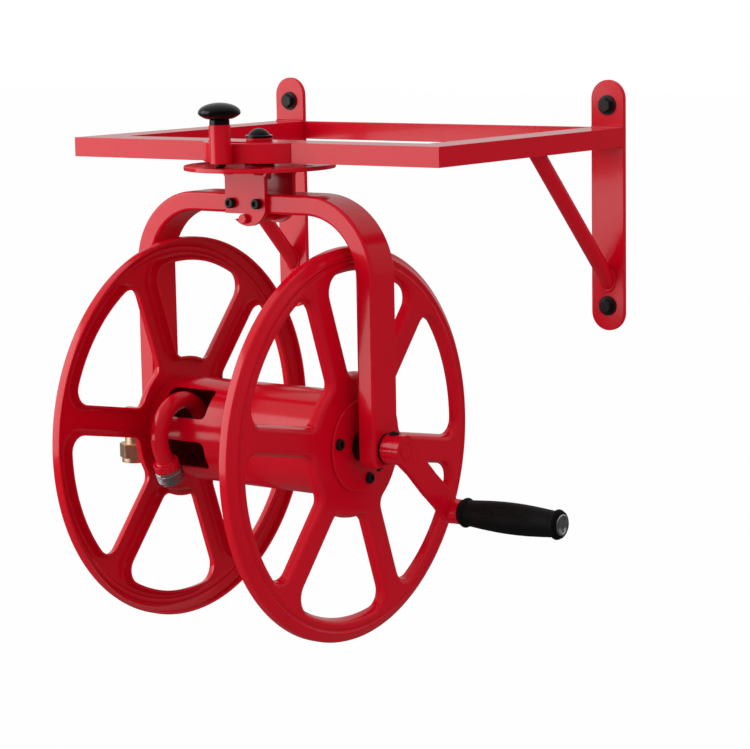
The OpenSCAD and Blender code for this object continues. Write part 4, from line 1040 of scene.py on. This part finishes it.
def frame_beads():
    parts = []
    for side in (-1, 1):
        x, low = side * bolt_x, side * 184.6
        parts.append(bead([(low, -5.6, 79.2), (x + side * 18.8, -5.6, 79.2)], 1.7))
        parts.append(bead([(low, -5.6, 60.5), (x + side * 18.8, -5.6, 60.5)], 1.7))
        ellipse = [(x + 8.3 * cos(t), -5.3, -74.65 + 11.7 * sin(t)) for t in
                   (2 * pi * i / 28 for i in range(28))]
        parts.append(bead(ellipse, 1.5, closed=True))
        ellipse = [(x + 8.3 * cos(t), -136.7 + 11.4 * sin(t), 60.1) for t in
                   (2 * pi * i / 28 for i in range(28))]
        parts.append(bead(ellipse, 1.5, closed=True))
    for side in (-1, 1):
        parts.append(bead([(side * 5.4, -361.2, 61.5), (side * 5.4, -361.2, 79.0)], 1.8))
    return join(*parts)


def swivel_beads():
    parts = []
    for y in (frame_front - 5.4, -286.7):
        for side in (-1, 1):
            parts.append(bead([(side * 23, y, 51.4), (side * 12, y, 51.4)], 2.9, 3.0))
    return join(*parts)


keep(frame_beads(), "frame_welds", "frame", red_paint, flat=80)
keep(swivel_beads(), "swivel_welds", "swivel", red_paint, flat=80)

# %% [markdown]
# What is left of the CAD model stays as it is: the shafts and plates inside the drum, the spring
# in the latch and the seals in the elbow. Each still gets its own finish.

# %% Finishes for the remaining CAD nodes
finishes = (
    (black_rubber, ["inlet_seals", "inlet_washer"]),
    (zinc, ["latch_spring", "drum_end_left", "drum_end_right", "axle", "water_shaft", "water_hub",
            "grip_pin"]),
)
for finish, nodes in finishes:
    for node in nodes:
        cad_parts[node].data.materials.clear()
        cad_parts[node].data.materials.append(finish)
shown = [name for name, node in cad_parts.items() if not node.hide_render]
print("CAD nodes still shown:", sorted(shown))

# %% [markdown]
# The light follows the photograph: a large soft box at the front left gives the bright, pinkish
# faces, and a weak fill from the right lights the sides without showing in any reflection. The
# room is darker for reflections than for camera rays, which keeps the red deep on a white page.

# %% World and lamps
def room():
    world = bpy.data.worlds.new("room")
    bpy.context.scene.world = world
    light = Finish("room", world)
    ray = lambda name: light.node("ShaderNodeLightPath", {}, {}, name)
    direction = light.node("ShaderNodeTexCoord", {}, {}, "Generated")
    towards = light.node("ShaderNodeVectorMath", {"operation": "DOT_PRODUCT"},
                         {0: direction, 1: (-0.72, 0.35, 0.6)}, "Value")
    mirror_level = light.span(towards, -0.5, 0.9, 0.05, 0.60)
    seen = ray("Is Camera Ray") + ray("Is Transmission Ray")
    glossy = ray("Is Glossy Ray")
    level = seen + glossy * mirror_level + (1 - seen) * (1 - glossy) * 0.8
    back = light.node("ShaderNodeBackground", {}, {"Color": (1, 1, 1, 1), "Strength": level})
    light.node("ShaderNodeOutputWorld", {}, {"Surface": back})


def lamp(name, place, target, width, height, radiance, mirrored=True):
    data = bpy.data.lights.new(name, "AREA")
    data.shape = "RECTANGLE"
    data.size, data.size_y = width, height
    data.energy = radiance * pi * width * height
    made = bpy.data.objects.new(name, data)
    bpy.context.scene.collection.objects.link(made)
    made.location = place
    made.visible_glossy = mirrored
    made.rotation_euler = (Vector(place) - Vector(target)).to_track_quat("Z", "Y").to_euler()


room()
lamp("soft_box", (-1.7, -1.9, 0.5), (0, -0.2, -0.1), 2.4, 2.4, 2.3)
lamp("fill", (2.6, -1.2, 0.4), (0, -0.2, -0.1), 1.6, 1.6, 0.45, False)

# %% [markdown]
# The floor lies well below the reel, which hangs on a wall. Nearly all that the camera sees of it
# is a plain white, and the rest is a real diffuse surface, so a shadow on it is too faint to see.
# Reflections see it much darker, because every upright face seen from slightly
# above mirrors the floor, and a bright one turned the deep red to pink.

# %% Floor
def pale_floor():
    bm = bmesh.new()
    bmesh.ops.create_grid(bm, x_segments=2, y_segments=2, size=30)
    bmesh.ops.translate(bm, vec=(0, 0, -1.3), verts=bm.verts)
    mesh = bpy.data.meshes.new("floor")
    bm.to_mesh(mesh)
    bm.free()
    floor = bpy.data.objects.new("floor", mesh)
    bpy.context.scene.collection.objects.link(floor)
    look = Finish("pale_floor")
    matte = look.node("ShaderNodeBsdfDiffuse", {}, {"Color": (0.55, 0.55, 0.55, 1)})
    dark = look.node("ShaderNodeBsdfDiffuse", {}, {"Color": (0.03, 0.03, 0.03, 1)})
    white = look.node("ShaderNodeEmission", {}, {"Color": (1, 1, 1, 1), "Strength": 1.0})
    camera_ray = look.node("ShaderNodeLightPath", {}, {}, "Is Camera Ray")
    glossy_ray = look.node("ShaderNodeLightPath", {}, {}, "Is Glossy Ray")
    lit = look.node("ShaderNodeMixShader", {}, {0: glossy_ray * 0.9, 1: matte, 2: dark})
    both = look.node("ShaderNodeMixShader", {}, {0: camera_ray * 0.985, 1: lit, 2: white})
    look.node("ShaderNodeOutputMaterial", {}, {"Surface": both})
    mesh.materials.append(look.made)
    return floor


print("floor:", pale_floor().name)
